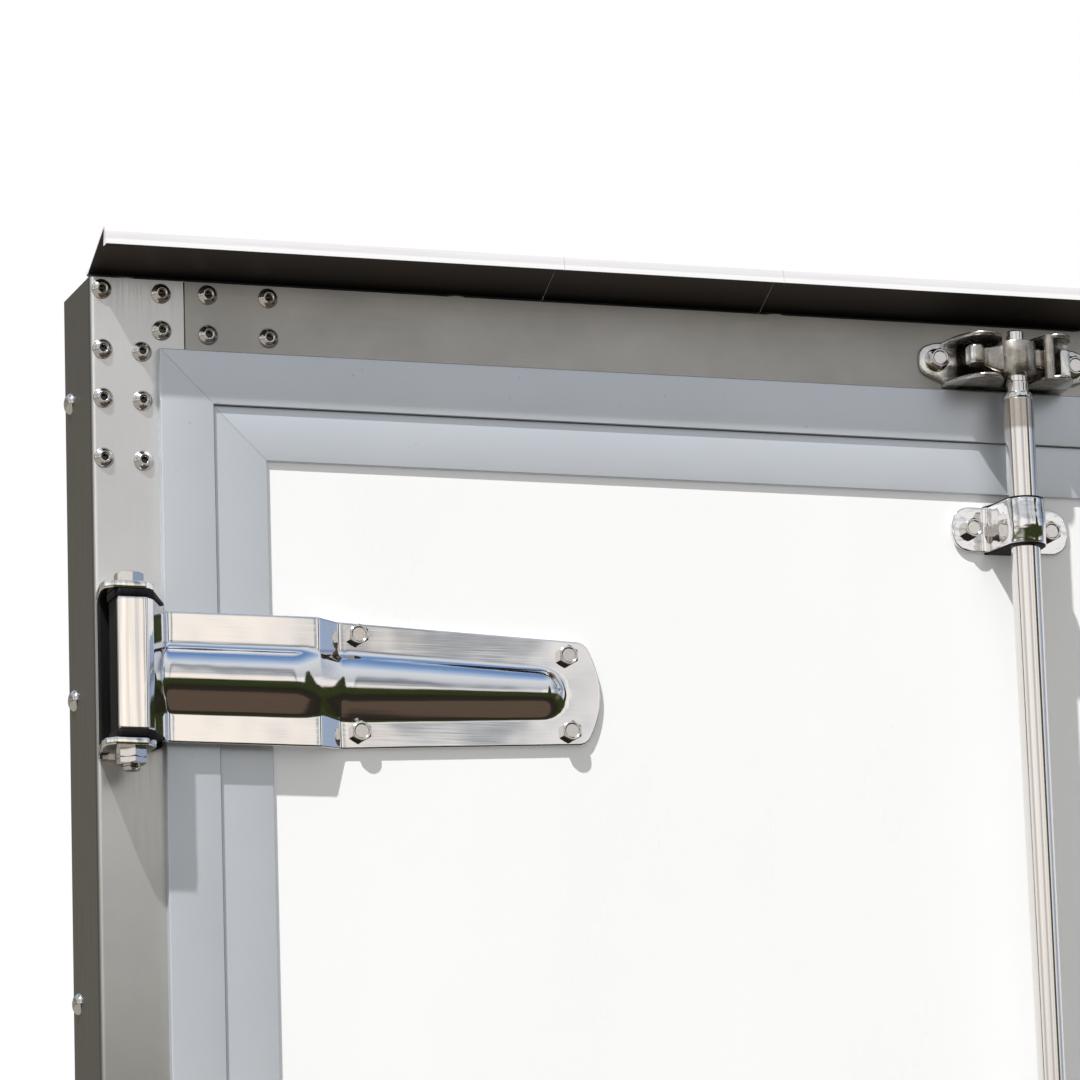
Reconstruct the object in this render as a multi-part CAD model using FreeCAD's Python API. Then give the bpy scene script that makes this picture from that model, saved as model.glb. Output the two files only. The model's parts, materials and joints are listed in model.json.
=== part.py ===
"""Rear door frame of a refrigerated truck body, with its two insulated doors.

Millimetres. X runs to the right as seen from behind the truck, Y runs forward into
the load space, Z runs up. The origin is on the underside of the sill, half way along
it, in the plane of the corner posts' rear faces.
"""
import FreeCAD, Part
import math
import os

os.makedirs("parts", exist_ok=True)
V = FreeCAD.Vector

# Overall sizes of the frame
outer_width = 2200.0
outer_height = 2250.0

# Corner posts, header and sill, bent from stainless sheet
sheet = 2.5
post_face_width = 66.7
flange_depth = 70.0
core_depth = 30.0
post_bend_radius = 4.0
sill_height = 104.0
butt_gap = 0.3

# Jamb profile round the door opening
jamb_inset_side = 47.0
jamb_inset_top = 49.5
jamb_band_width = 37.5
jamb_band_proud = 6.5
lining_thickness = 11.3
lining_depth = 85.0
mitre_gap = 0.3

# Door leaves
leaf_gap = 2.5
leaf_gap_bottom = 8.0
centre_gap = 12.0
leaf_band_width = 35.5
leaf_band_front = -4.0
leaf_panel_front = -1.5
leaf_thickness = 70.0
leaf_band_step = 6.0
edge_web = 2.5
seal_height = 5.5
seal_width = 24.0
seal_start = 22.0

# Rain gutter on top of the header
gutter_lift = 2.7
gutter_sheet = 2.0
gutter_base_depth = 32.0
gutter_reach = 43.0
gutter_rise = 25.2
gutter_lip = 14.6
gutter_lip_flare = 3.0
gutter_washer_radius = 9.0
gutter_washer_pitch = 240.0
gutter_washer_end = 28.0

# Hinges, measured from the outer side of the post and the post's rear face
hinge_axis_in = 16.3
hinge_axis_out = 30.0
hinge_count = 3
hinge_from_top = 277.0
hinge_from_bottom = 260.0
barrel_half = 45.0
barrel_front_half = 11.2
barrel_reach = 15.0
barrel_chamfer = 6.0
rim_height = 5.5
rim_inset = 0.5
bush_half_width = 13.5
bush_back = 12.0
bush_corner = 4.0
lug_thickness = 5.0
lug_half_width = 16.2
lug_clearance = 0.3
bracket_sheet = 2.5
pad_front = 8.5
pad_width = 43.0
bolt_diameter = 12.0
bolt_clearance = 0.2
bolt_head_height = 8.0
bolt_head_flats = 18.0
bolt_nut_height = 7.0
bolt_lock_nut_height = 4.0
bolt_end_length = 4.0

# Hinge straps
strap_thickness = 3.5
strap_flat_start = 45.1
strap_proud = 15.0
strap_joggle_start = 153.0
strap_joggle_end = 170.0
strap_end = 351.5
strap_bulge = 7.1
strap_start_half = 44.5
strap_end_half = 36.0
strap_corner_radius = 10.0
rib_start = 47.0
rib_waist = 150.0
rib_end = 333.0
rib_proud = 9.0
rib_start_half = 25.0
rib_waist_half = 22.0
rib_middle_half = 25.0
rib_end_half = 19.0
rib_drop = 0.4
rib_settle = 6.0
rib_section_turns = (1.0, 0.66, 0.33, 0.0)

# Lock rods
rod_in = 672.0
rod_out = 30.0
rod_diameter = 22.0
rod_top_drop = 59.8
shank_diameter = 15.3
stub_diameter = 12.5
stub_top_drop = 10.8
swage_height = 4.5

# Cams and keepers
boss_diameter = 28.5
boss_top_drop = 19.7
boss_height = 23.2
cam_fit = 0.1
cam_height = 13.3
cam_drop = 24.5
arm_length = 40.0
arm_root = 6.0
arm_waist = 23.0
arm_waist_front = 3.8
arm_back = 4.6
arm_nose_near = 29.5
arm_nose_front = 13.0
arm_nose_corner = 3.0
lobe_length = 24.0
lobe_thickness = 9.0
lobe_shift = -1.5
keeper_sheet = 3.0
keeper_height = 34.0
keeper_drop = 30.5
keeper_bolt_drop = 27.7
keeper_ear_radius = 12.8
keeper_bolt_pitch = 105.5
keeper_shift = 2.5
keeper_wing_left_middle = 24.5
keeper_wing_left_half = 21.0
keeper_wing_right_middle = 30.0
keeper_wing_right_half = 17.5
keeper_wing_left_reach = 42.0
keeper_wing_right_reach = 45.0
keeper_pin_diameter = 7.0
keeper_pin_offset = 22.3
keeper_pin_out = 38.5
keeper_stop_offset = 36.0
keeper_stop_out = 27.0
keeper_stop_width = 8.0
keeper_wing_steps = 12

# Guides that hold the rods on the doors
guide_sheet = 3.5
guide_bolt_pitch = 60.0
guide_ear_radius = 14.0
guide_cap_radius = 15.0
guide_bore = 24.2
guide_height = 32.6
guide_first_drop = 151.0
guide_handle_offset = 150.0
bush_overhang = 1.3
bush_clearance = 0.1
rod_clearance = 0.1

# Handles
handle_height = 900.0
hub_diameter = 34.0
hub_height = 46.0
hub_fit = 0.1
pivot_offset = 38.0
pivot_diameter = 10.0
pivot_clearance = 0.1
cheek_thickness = 5.0
cheek_gap = 0.5
cheek_half = 14.0
lever_thickness = 9.0
lever_width = 26.0
lever_length = 330.0
lever_bend_start = 175.0
lever_bend_end = 215.0
lever_bend_out = 16.0
catch_from_pivot = 125.0
catch_width = 30.0
catch_sheet = 3.5
catch_gap = 3.0
catch_ramp_run = 9.0
catch_ramp_rise = 2.0
catch_plate_height = 74.0

overrun = 5.0


def box(x0, x1, y0, y1, z0, z1):
    """A block between two corners."""
    return Part.makeBox(x1 - x0, y1 - y0, z1 - z0, V(x0, y0, z0))


def face_of(points):
    """A flat face inside a closed run of points."""
    return Part.Face(Part.makePolygon(points + [points[0]]))


def prism_xy(points, z0, z1):
    """An outline in X and Y carried from height z0 to z1."""
    return face_of([V(x, y, z0) for x, y in points]).extrude(V(0, 0, z1 - z0))


def prism_yz(points, x0, x1):
    """An outline in Y and Z carried from x0 to x1."""
    return face_of([V(x0, y, z) for y, z in points]).extrude(V(x1 - x0, 0, 0))


def prism_xz(points, y0, y1):
    """An outline in X and Z carried from depth y0 to y1."""
    return face_of([V(x, y0, z) for x, z in points]).extrude(V(0, y1 - y0, 0))


def cylinder(radius, x, y, z0, z1):
    """An upright round bar."""
    return Part.makeCylinder(radius, z1 - z0, V(x, y, z0))


def cross_cylinder(radius, x, z, y0, y1):
    """A round bar that runs front to back."""
    return Part.makeCylinder(radius, y1 - y0, V(x, y0, z), V(0, 1, 0))


def fuse(shapes):
    """Several shapes made one solid."""
    whole = shapes[0]
    for shape in shapes[1:]:
        whole = whole.fuse(shape)
    return whole.removeSplitter()


def mirrored(shape):
    """The same shape on the right-hand side."""
    return shape.mirror(V(0, 0, 0), V(1, 0, 0))


def flipped(shape, middle):
    """The same shape turned upside down about a height."""
    return shape.mirror(V(0, 0, middle), V(0, 0, 1))


def save(name, shapes):
    """Write one node from one solid or several that don't touch."""
    solids = []
    for shape in shapes:
        solids.extend(shape.Solids)
    whole = solids[0] if len(solids) == 1 else Part.makeCompound(solids)
    whole.exportStep("parts/" + name + ".step")


def save_pair(name, shapes):
    """Write a left-hand node and its mirror image."""
    save(name + "_left", shapes)
    save(name + "_right", [mirrored(shape) for shape in shapes])


def offset_path(points, distance):
    """The path moved to its right by a distance, with mitred corners."""
    moved = []
    for i, point in enumerate(points):
        normals = []
        if i > 0:
            normals.append(right_normal(points[i - 1], point))
        if i < len(points) - 1:
            normals.append(right_normal(point, points[i + 1]))
        nx = sum(n[0] for n in normals)
        ny = sum(n[1] for n in normals)
        size = nx * normals[0][0] + ny * normals[0][1]
        moved.append((point[0] + nx * distance / size, point[1] + ny * distance / size))
    return moved


def right_normal(a, b):
    """The unit direction to the right of the run from a to b."""
    length = math.hypot(b[0] - a[0], b[1] - a[1])
    return ((b[1] - a[1]) / length, -(b[0] - a[0]) / length)


# Places that follow from the sizes above
top = outer_height
side = -outer_width / 2
post_inner = side + post_face_width
lining_inner = post_inner + lining_thickness
jamb_outer = side + jamb_inset_side
jamb_inner = jamb_outer + jamb_band_width
jamb_top = top - jamb_inset_top
jamb_under = jamb_top - jamb_band_width
header_under = top - post_face_width
lining_top = header_under - lining_thickness

leaf_outer = jamb_inner + leaf_gap
leaf_free = -centre_gap / 2
leaf_top = jamb_under - leaf_gap
leaf_bottom = sill_height + leaf_gap_bottom
leaf_middle = (leaf_top + leaf_bottom) / 2
leaf_back = leaf_panel_front + leaf_thickness
web_outer = leaf_outer + leaf_band_step
web_free = leaf_free - leaf_band_step
web_top = leaf_top - leaf_band_step
web_bottom = leaf_bottom + leaf_band_step

axis_x = side + hinge_axis_in
axis_y = -hinge_axis_out
hinge_top = top - hinge_from_top
hinge_low = sill_height + hinge_from_bottom
hinge_step = (hinge_top - hinge_low) / (hinge_count - 1)
hinge_heights = [hinge_low + hinge_step * i for i in range(hinge_count)]

rod_x = side + rod_in
rod_y = -rod_out
rod_radius = rod_diameter / 2


def post():
    """Rear plate and side flange of the left corner post, bent from one sheet."""
    outer = box(side, post_inner, 0, flange_depth, 0, top)
    hollow = box(side + sheet, post_inner + overrun, sheet, flange_depth + overrun, 0, top)
    angle = outer.cut(hollow)
    bend = [edge for edge in angle.Edges if is_upright_at(edge, side, 0)]
    return angle.makeFillet(post_bend_radius, bend)


def is_upright_at(edge, x, y):
    """Whether an edge stands upright at a place."""
    box_of = edge.BoundBox
    near = sheet / 10
    return (box_of.ZLength > near and box_of.XLength < near and box_of.YLength < near
            and abs(box_of.XMin - x) < near and abs(box_of.YMin - y) < near)


def header():
    """Rear plate of the header with its top flange, which also closes the posts' tops."""
    reach = post_inner + butt_gap
    plate = box(reach, -reach, 0, sheet, header_under, top)
    flange = box(reach, -reach, 0, flange_depth, top - sheet, top)
    ends = []
    for low, high in ((side + sheet, reach), (-reach, -side - sheet)):
        ends.append(box(low, high, sheet, flange_depth, top - sheet, top))
    return fuse([plate, flange] + ends)


def sill():
    """Sill pressed from sheet: rear plate, tread above and flange below."""
    reach = post_inner
    plate = box(reach, -reach, 0, sheet, 0, sill_height)
    tread = box(reach, -reach, 0, lining_depth, sill_height - sheet, sill_height)
    under = box(reach, -reach, 0, flange_depth, 0, sheet)
    return fuse([plate, tread, under])


def cores():
    """Insulated fillers behind the rear plates, clear of the panels' slots."""
    post_core = box(side + sheet, post_inner, sheet, core_depth, 0, top - sheet)
    header_core = box(post_inner, -post_inner, sheet, core_depth, header_under, top - sheet)
    sill_core = box(post_inner, -post_inner, sheet, core_depth, sheet, sill_height - sheet)
    return post_core, header_core, sill_core


def jamb_side():
    """Left jamb profile: band on the face and lining along the opening, mitred at the top."""
    band = box(jamb_outer, jamb_inner, -jamb_band_proud, 0, sill_height, jamb_top)
    lining = box(post_inner, lining_inner, -jamb_band_proud / 2, lining_depth, sill_height, jamb_top)
    lining = lining.cut(box(post_inner - overrun, lining_inner + overrun, core_depth,
                            lining_depth + overrun, header_under, top))
    whole = fuse([band, lining])
    return whole.cut(mitre_wedge(jamb_outer, jamb_top, True))


def jamb_across():
    """Top jamb profile, mitred at both ends."""
    band = box(jamb_outer, -jamb_outer, -jamb_band_proud, 0, jamb_under, jamb_top)
    lining = box(jamb_outer, -jamb_outer, -jamb_band_proud / 2, lining_depth, lining_top, header_under)
    lining = lining.cut(box(jamb_outer - overrun, post_inner, 0, lining_depth + overrun,
                            lining_top - overrun, header_under + overrun))
    lining = lining.cut(box(-post_inner, -jamb_outer + overrun, 0, lining_depth + overrun,
                            lining_top - overrun, header_under + overrun))
    whole = fuse([band, lining])
    whole = whole.cut(mitre_wedge(jamb_outer, jamb_top, False))
    return whole.cut(mirrored(mitre_wedge(jamb_outer, jamb_top, False)))


def mitre_wedge(x, z, upper):
    """Everything above, or below, the 45 degree line that runs in and down from a corner."""
    reach = jamb_band_width * 4
    shift = mitre_gap / 2 if upper else -mitre_gap / 2
    z = z - shift
    if upper:
        corners = [(x - reach, z + reach), (x + reach, z - reach), (x + reach, z + reach)]
    else:
        corners = [(x - reach, z + reach), (x + reach, z - reach), (x - reach, z - reach)]
    return prism_xz(corners, -lining_depth, lining_depth * 2)


def leaf_profile():
    """Edge profiles of the left leaf: four mitred angles round the panel."""
    rails = []
    outer = (leaf_outer, leaf_free, leaf_bottom, leaf_top)
    inner = (leaf_outer + leaf_band_width, leaf_free - leaf_band_width,
             leaf_bottom + leaf_band_width, leaf_top - leaf_band_width)
    frame = ring(outer, inner, leaf_band_front, leaf_panel_front)
    web_out = (web_outer, web_free, web_bottom, web_top)
    web_in = (web_outer + edge_web, web_free - edge_web, web_bottom + edge_web, web_top - edge_web)
    web = ring(web_out, web_in, leaf_panel_front, leaf_back)
    whole = fuse([frame, web])
    for quarter in quarters(outer, inner):
        rails.append(whole.common(quarter))
    return rails


def ring(outer, inner, y0, y1):
    """A rectangular ring from (x0, x1, z0, z1) outside and inside."""
    solid = box(outer[0], outer[1], y0, y1, outer[2], outer[3])
    hole = box(inner[0], inner[1], y0 - overrun, y1 + overrun, inner[2], inner[3])
    return solid.cut(hole)


def quarters(outer, inner):
    """Four wedges that cut a ring along its mitres, each held back by half the gap."""
    x0, x1, z0, z1 = outer
    depth = inner[0] - outer[0]
    gap = mitre_gap / 2
    y0 = leaf_band_front - overrun
    y1 = leaf_back + overrun
    left = [(x0, z0 + gap), (x0, z1 - gap), (x0 + depth, z1 - depth - gap), (x0 + depth, z0 + depth + gap)]
    right = [(x1, z0 + gap), (x1, z1 - gap), (x1 - depth, z1 - depth - gap), (x1 - depth, z0 + depth + gap)]
    low = [(x0 + gap, z0), (x1 - gap, z0), (x1 - depth - gap, z0 + depth), (x0 + depth + gap, z0 + depth)]
    high = [(x0 + gap, z1), (x1 - gap, z1), (x1 - depth - gap, z1 - depth), (x0 + depth + gap, z1 - depth)]
    return [prism_xz(points, y0, y1) for points in (left, right, low, high)]


def leaf_panel():
    """Insulated panel of the left leaf."""
    return box(web_outer + edge_web, web_free - edge_web, leaf_panel_front, leaf_back,
               web_bottom + edge_web, web_top - edge_web)


def leaf_seal():
    """Rubber gasket in a ring round the edge of the left leaf."""
    outer = (web_outer - seal_height, web_free + seal_height, web_bottom - seal_height, web_top + seal_height)
    inner = (web_outer, web_free, web_bottom, web_top)
    return ring(outer, inner, seal_start, seal_start + seal_width)


def gutter():
    """Rain gutter over the doors: base, rising web and turned-down lip, on spacer washers."""
    base = top + gutter_lift
    tip = top + gutter_rise
    t = gutter_sheet
    outline = [(gutter_base_depth, base), (t, base), (-gutter_reach + t, tip - t),
               (-gutter_reach - gutter_lip_flare + t, tip - gutter_lip),
               (-gutter_reach - gutter_lip_flare, tip - gutter_lip),
               (-gutter_reach, tip), (0, base + t), (gutter_base_depth, base + t)]
    parts = [prism_yz(outline, side, -side)]
    span = outer_width - gutter_washer_end * 2
    count = int(round(span / gutter_washer_pitch))
    for i in range(count + 1):
        x = side + gutter_washer_end + span * i / count
        parts.append(cylinder(gutter_washer_radius, x, gutter_base_depth / 2, top, base + t / 2))
    return fuse(parts)


def hexagon(flats, x, y, z0, z1):
    """A hexagon bar standing upright."""
    radius = flats / math.sqrt(3)
    points = []
    corner_count = 6
    for i in range(corner_count):
        turn = 2 * math.pi * i / corner_count
        points.append((x + radius * math.cos(turn), y + radius * math.sin(turn)))
    return prism_xy(points, z0, z1)


def lug_outline():
    """Outline of a hinge lug, from the post's face to its chamfered front."""
    half = lug_half_width
    c = barrel_chamfer
    front = axis_y - half
    return [(axis_x - half, 0), (axis_x - half, front + c), (axis_x - half + c, front),
            (axis_x + half - c, front), (axis_x + half, front + c), (axis_x + half, 0)]


def hinge_bracket(z):
    """Fixed bracket of one hinge: two lugs joined by a back plate on the post."""
    low = barrel_half + rim_height + lug_clearance
    high = low + lug_thickness
    bore = (bolt_diameter + bolt_clearance) / 2
    lugs = prism_xy(lug_outline(), z + low, z + high)
    lower = prism_xy(lug_outline(), z - high, z - low)
    back = box(axis_x - lug_half_width, axis_x + lug_half_width, -bracket_sheet, 0, z - high, z + high)
    whole = fuse([lugs, lower, back])
    return whole.cut(cylinder(bore, axis_x, axis_y, z - high - overrun, z + high + overrun))


def hinge_pad(z):
    """Moulded pad between the bracket's lugs, in front of its back plate."""
    half = barrel_half + rim_height + lug_clearance
    x0 = axis_x - lug_half_width
    return box(x0, x0 + pad_width, -pad_front, -bracket_sheet, z - half, z + half)


def hinge_bolt(z):
    """Through bolt of one hinge with its head, nut and lock nut."""
    high = barrel_half + rim_height + lug_clearance + lug_thickness
    head = hexagon(bolt_head_flats, axis_x, axis_y, z + high, z + high + bolt_head_height)
    nut_end = z - high - bolt_nut_height
    nut = hexagon(bolt_head_flats, axis_x, axis_y, nut_end, z - high)
    lock = hexagon(bolt_head_flats, axis_x, axis_y, nut_end - bolt_lock_nut_height, nut_end)
    end = nut_end - bolt_lock_nut_height - bolt_end_length
    shaft = cylinder(bolt_diameter / 2, axis_x, axis_y, end, z + high)
    return fuse([head, shaft, nut, lock])


def strap_path():
    """Outer line of the strap in plan: over the barrel, down the slope, along and down the joggle."""
    front = axis_y - barrel_reach
    c = barrel_chamfer
    return [(axis_x - barrel_front_half - strap_thickness / 2, front), (axis_x + barrel_front_half - c / 2, front),
            (axis_x + barrel_front_half + c / 2, front + c), (side + strap_flat_start, -strap_proud),
            (side + strap_joggle_start, -strap_proud),
            (side + strap_joggle_end, leaf_panel_front - strap_thickness),
            (side + strap_joggle_end + strap_corner_radius, leaf_panel_front - strap_thickness)]


def hinge_strap(z):
    """Pressed strap of one hinge: barrel, arm over the jamb, joggle, plate on the panel and rib."""
    outer = strap_path()
    inner = offset_path(outer, -strap_thickness)
    strip = prism_xy(outer + inner[::-1], z - barrel_half, z + barrel_half)
    front = leaf_panel_front - strap_thickness
    x0 = side + strap_joggle_end
    x1 = side + strap_end
    plate = rounded_plate(x0, x1, z, front)
    trim = box(x0 + overrun, x0 + strap_corner_radius + overrun, front - overrun, overrun,
               z + strap_start_half, z + barrel_half + overrun)
    strip = strip.cut(trim).cut(flipped(trim, z))
    return fuse([strip, plate, strap_rib(z)])


def rounded_plate(x0, x1, z, front):
    """Tapered plate with a bowed end and rounded corners."""
    a = strap_start_half
    b = strap_end_half
    r = strap_corner_radius
    end_top = V(x1, front, z + b - r)
    end_low = V(x1, front, z - b + r)
    slope = (b - a) / (x1 - x0)
    start_top = V(x0, front, z + a)
    start_low = V(x0, front, z - a)
    shoulder_x = x1 - r
    shoulder = a + slope * (shoulder_x - x0)
    top_turn = V(shoulder_x, front, z + shoulder)
    low_turn = V(shoulder_x, front, z - shoulder)
    middle = math.sqrt(2) / 2
    top_mid = V(shoulder_x + r * middle, front, z + b - r + r * middle)
    low_mid = V(shoulder_x + r * middle, front, z - b + r - r * middle)
    bow = V(x1 + strap_bulge, front, z)
    edges = [Part.LineSegment(start_low, start_top).toShape(),
             Part.LineSegment(start_top, top_turn).toShape(),
             Part.Arc(top_turn, top_mid, end_top).toShape(),
             Part.Arc(end_top, bow, end_low).toShape(),
             Part.Arc(end_low, low_mid, low_turn).toShape(),
             Part.LineSegment(low_turn, start_low).toShape()]
    return Part.Face(Part.Wire(edges)).extrude(V(0, strap_thickness, 0))


def rib_arch(share):
    """Share of the rib's full height at a share of its half width from the middle line."""
    return (1 + math.cos(math.pi * share)) / 2


def rib_section(x, surface, proud, half, z):
    """Arched section of the rib, standing on the strap's outer surface."""
    foot = surface + strap_thickness / 2
    upper = [V(x, surface - proud * rib_arch(t), z + half * t) for t in rib_section_turns]
    lower = [V(x, surface - proud * rib_arch(t), z - half * t) for t in reversed(rib_section_turns[:-1])]
    points = [V(x, foot, z + half)] + upper + lower + [V(x, foot, z - half)]
    return Part.makePolygon(points + [points[0]])


def strap_rib(z):
    """Raised rib of the strap, from the barrel over the joggle to its rounded end."""
    z = z - rib_drop
    near = -strap_proud
    far = leaf_panel_front - strap_thickness
    x0 = side + rib_start
    waist = side + rib_waist
    settle = side + strap_joggle_end + rib_settle
    last_x = side + rib_end - rib_end_half
    first = Part.makeLoft([rib_section(x0, near, rib_proud, rib_start_half, z),
                           rib_section(waist, near, rib_proud, rib_waist_half, z)], True, True)
    second = Part.makeLoft([rib_section(waist, near, rib_proud, rib_waist_half, z),
                            rib_section(settle, far, rib_proud, rib_middle_half, z)], True, True)
    third = Part.makeLoft([rib_section(settle, far, rib_proud, rib_middle_half, z),
                           rib_section(last_x, far, rib_proud, rib_end_half, z)], True, True)
    half_section = [V(last_x + rib_end_half * t, far - rib_proud * rib_arch(t), z) for t in rib_section_turns]
    foot = far + strap_thickness / 2
    half_section = [V(last_x + rib_end_half, foot, z)] + half_section + [V(last_x, foot, z)]
    outline = Part.Face(Part.makePolygon(half_section + [half_section[0]]))
    nose = outline.revolve(V(last_x, 0, z), V(0, 1, 0), 360)
    return fuse([first, second, third, nose])


def hinge_bush(z):
    """Moulded bush inside the barrel, with a rim at each end that follows the strap."""
    outer = strap_path()
    inner = offset_path(outer, -strap_thickness)
    half = bush_half_width
    back = axis_y + bush_back
    left = outer[0][0]
    corner = bush_corner
    core = [inner[0], inner[1], inner[2], (axis_x + half, axis_y + corner), (axis_x + half - corner, back),
            (left + corner, back), (left, back - corner)]
    body = prism_xy(core, z - barrel_half, z + barrel_half)
    wing_x = outer[3][0] - rim_inset
    rim = [(left, outer[0][1] + barrel_chamfer / 2), (left + barrel_chamfer / 2, outer[0][1] + rim_inset),
           (outer[1][0], outer[1][1] + rim_inset), (outer[2][0], outer[2][1] + rim_inset),
           (wing_x, outer[3][1]), (wing_x - corner, outer[3][1] + corner),
           (axis_x + half - corner, back), (left + corner, back), (left, back - corner)]
    upper = prism_xy(rim, z + barrel_half, z + barrel_half + rim_height)
    lower = prism_xy(rim, z - barrel_half - rim_height, z - barrel_half)
    whole = fuse([body, upper, lower])
    bore = (bolt_diameter + bolt_clearance) / 2
    reach = barrel_half + rim_height + overrun
    return whole.cut(cylinder(bore, axis_x, axis_y, z - reach, z + reach))


def lock_rod():
    """Left lock rod: tube with a turned-down shank and stub at each end."""
    tube_top = top - rod_top_drop
    tube = cylinder(rod_radius, rod_x, rod_y, 2 * leaf_middle - tube_top, tube_top)
    boss_top = top - boss_top_drop
    swage = Part.makeCone(rod_radius, shank_diameter / 2, swage_height, V(rod_x, rod_y, tube_top))
    shank = cylinder(shank_diameter / 2, rod_x, rod_y, tube_top, boss_top)
    stub = cylinder(stub_diameter / 2, rod_x, rod_y, boss_top, top - stub_top_drop)
    ends = [swage, shank, stub]
    return fuse([tube] + ends + [flipped(end, leaf_middle) for end in ends])


def cam():
    """Top cam on the rod: boss, outer arm with a hooked tip and inner lobe behind the keeper's pin."""
    boss_top = top - boss_top_drop
    boss = cylinder(boss_diameter / 2, rod_x, rod_y, boss_top - boss_height, boss_top)
    z1 = top - cam_drop
    z0 = z1 - cam_height
    nose = rod_y - arm_nose_front
    arm = prism_xy([(rod_x, rod_y - arm_root), (rod_x - arm_waist, rod_y - arm_waist_front),
                    (rod_x - arm_nose_near, nose), (rod_x - arm_length + arm_nose_corner, nose),
                    (rod_x - arm_length, nose + arm_nose_corner), (rod_x - arm_length, rod_y),
                    (rod_x - arm_waist, rod_y + arm_back), (rod_x, rod_y + arm_root)], z0, z1)
    front = rod_y - lobe_thickness / 2 - lobe_shift
    lobe = box(rod_x, rod_x + lobe_length, front, front + lobe_thickness, z0, z1)
    whole = fuse([boss, arm, lobe])
    bore = shank_diameter / 2 + cam_fit
    return whole.cut(cylinder(bore, rod_x, rod_y, boss_top - boss_height - overrun, boss_top + overrun))


def keeper():
    """Top keeper on the header: plate with two ears, two forked wings, a pin and a stop block."""
    z = top - keeper_drop
    half = keeper_height / 2
    pitch = keeper_bolt_pitch / 2
    middle = rod_x + keeper_shift
    plate = box(middle - pitch, middle + pitch, -keeper_sheet, 0, z - half, z + half)
    bolt_z = top - keeper_bolt_drop
    ears = [cross_cylinder(keeper_ear_radius, middle + s * pitch, bolt_z, -keeper_sheet, 0) for s in (-1, 1)]
    parts = [plate] + ears
    for z0 in (z + half - keeper_sheet, z - half):
        parts.append(keeper_wing(-keeper_wing_left_middle, keeper_wing_left_half, keeper_wing_left_reach, z0))
        parts.append(keeper_wing(keeper_wing_right_middle, keeper_wing_right_half, keeper_wing_right_reach, z0))
    pin_x = rod_x + keeper_pin_offset
    parts.append(cylinder(keeper_pin_diameter / 2, pin_x, -keeper_pin_out, z - half, z + half))
    stop_x = rod_x + keeper_stop_offset
    parts.append(box(stop_x, stop_x + keeper_stop_width, -keeper_stop_out, 0, z - half, z + half))
    return fuse(parts)


def keeper_wing(offset, half, reach, z0):
    """One flange of a wing: a half-oval tongue that stands out from the plate."""
    turns = [math.pi * k / keeper_wing_steps for k in range(keeper_wing_steps + 1)]
    points = [(rod_x + offset + half * math.cos(t), -reach * math.sin(t)) for t in turns]
    return prism_xy(points, z0, z0 + keeper_sheet)


def guide_heights():
    """Heights of the four guides of one rod."""
    first = top - guide_first_drop
    last = 2 * leaf_middle - first
    return [first, handle_height + guide_handle_offset, handle_height - guide_handle_offset, last]


def rod_guide(z):
    """One guide: foot plate with two ears and a bridge over the rod."""
    half = guide_height / 2
    pitch = guide_bolt_pitch / 2
    back = leaf_panel_front
    front = back - guide_sheet
    plate = box(rod_x - pitch, rod_x + pitch, front, back, z - guide_ear_radius, z + guide_ear_radius)
    ears = [cross_cylinder(guide_ear_radius, rod_x + s * pitch, z, front, back) for s in (-1, 1)]
    cheeks = box(rod_x - guide_cap_radius, rod_x + guide_cap_radius, rod_y, back, z - half, z + half)
    cap = cylinder(guide_cap_radius, rod_x, rod_y, z - half, z + half)
    whole = fuse([plate, cheeks, cap] + ears)
    return whole.cut(cylinder(guide_bore / 2, rod_x, rod_y, z - half - overrun, z + half + overrun))


def guide_bush(z):
    """Moulded bush of one guide, round the rod."""
    half = guide_height / 2 + bush_overhang
    ring_of = cylinder(guide_bore / 2 - bush_clearance, rod_x, rod_y, z - half, z + half)
    bore = rod_radius + rod_clearance
    return ring_of.cut(cylinder(bore, rod_x, rod_y, z - half - overrun, z + half + overrun))


def handle_hub():
    """Clamp on the rod with two cheeks that hold the lever."""
    z = handle_height
    half = hub_height / 2
    clamp = cylinder(hub_diameter / 2, rod_x, rod_y, z - half, z + half)
    inner = lever_thickness / 2 + cheek_gap
    pivot_x = rod_x - pivot_offset
    parts = [clamp]
    for y0 in (rod_y - inner - cheek_thickness, rod_y + inner):
        parts.append(box(pivot_x, rod_x, y0, y0 + cheek_thickness, z - cheek_half, z + cheek_half))
        parts.append(cross_cylinder(cheek_half, pivot_x, z, y0, y0 + cheek_thickness))
    reach = inner + cheek_thickness
    parts.append(cross_cylinder(pivot_diameter / 2, pivot_x, z, rod_y - reach, rod_y + reach))
    whole = fuse(parts)
    return whole.cut(cylinder(rod_radius + hub_fit, rod_x, rod_y, z - half - overrun, z + half + overrun))


def lever():
    """Handle lever: flat bar from the pivot, bent outward to the grip."""
    z = handle_height
    half = lever_width / 2
    pivot_x = rod_x - pivot_offset
    t = lever_thickness / 2
    bend0 = pivot_x - lever_bend_start
    bend1 = pivot_x - lever_bend_end
    end = pivot_x - lever_length
    line = [(pivot_x, rod_y - t), (bend0, rod_y - t), (bend1, rod_y - t - lever_bend_out),
            (end, rod_y - t - lever_bend_out)]
    back = offset_path(line, lever_thickness)
    bar = prism_xy(line + back[::-1], z - half, z + half)
    eye = cross_cylinder(half, pivot_x, z, rod_y - t, rod_y + t)
    grip = cross_cylinder(half, end, z, rod_y - t - lever_bend_out, rod_y + t - lever_bend_out)
    whole = fuse([bar, eye, grip])
    bore = pivot_diameter / 2 + pivot_clearance
    return whole.cut(cross_cylinder(bore, pivot_x, z, rod_y - overrun * 2, rod_y + overrun * 2))


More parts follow.
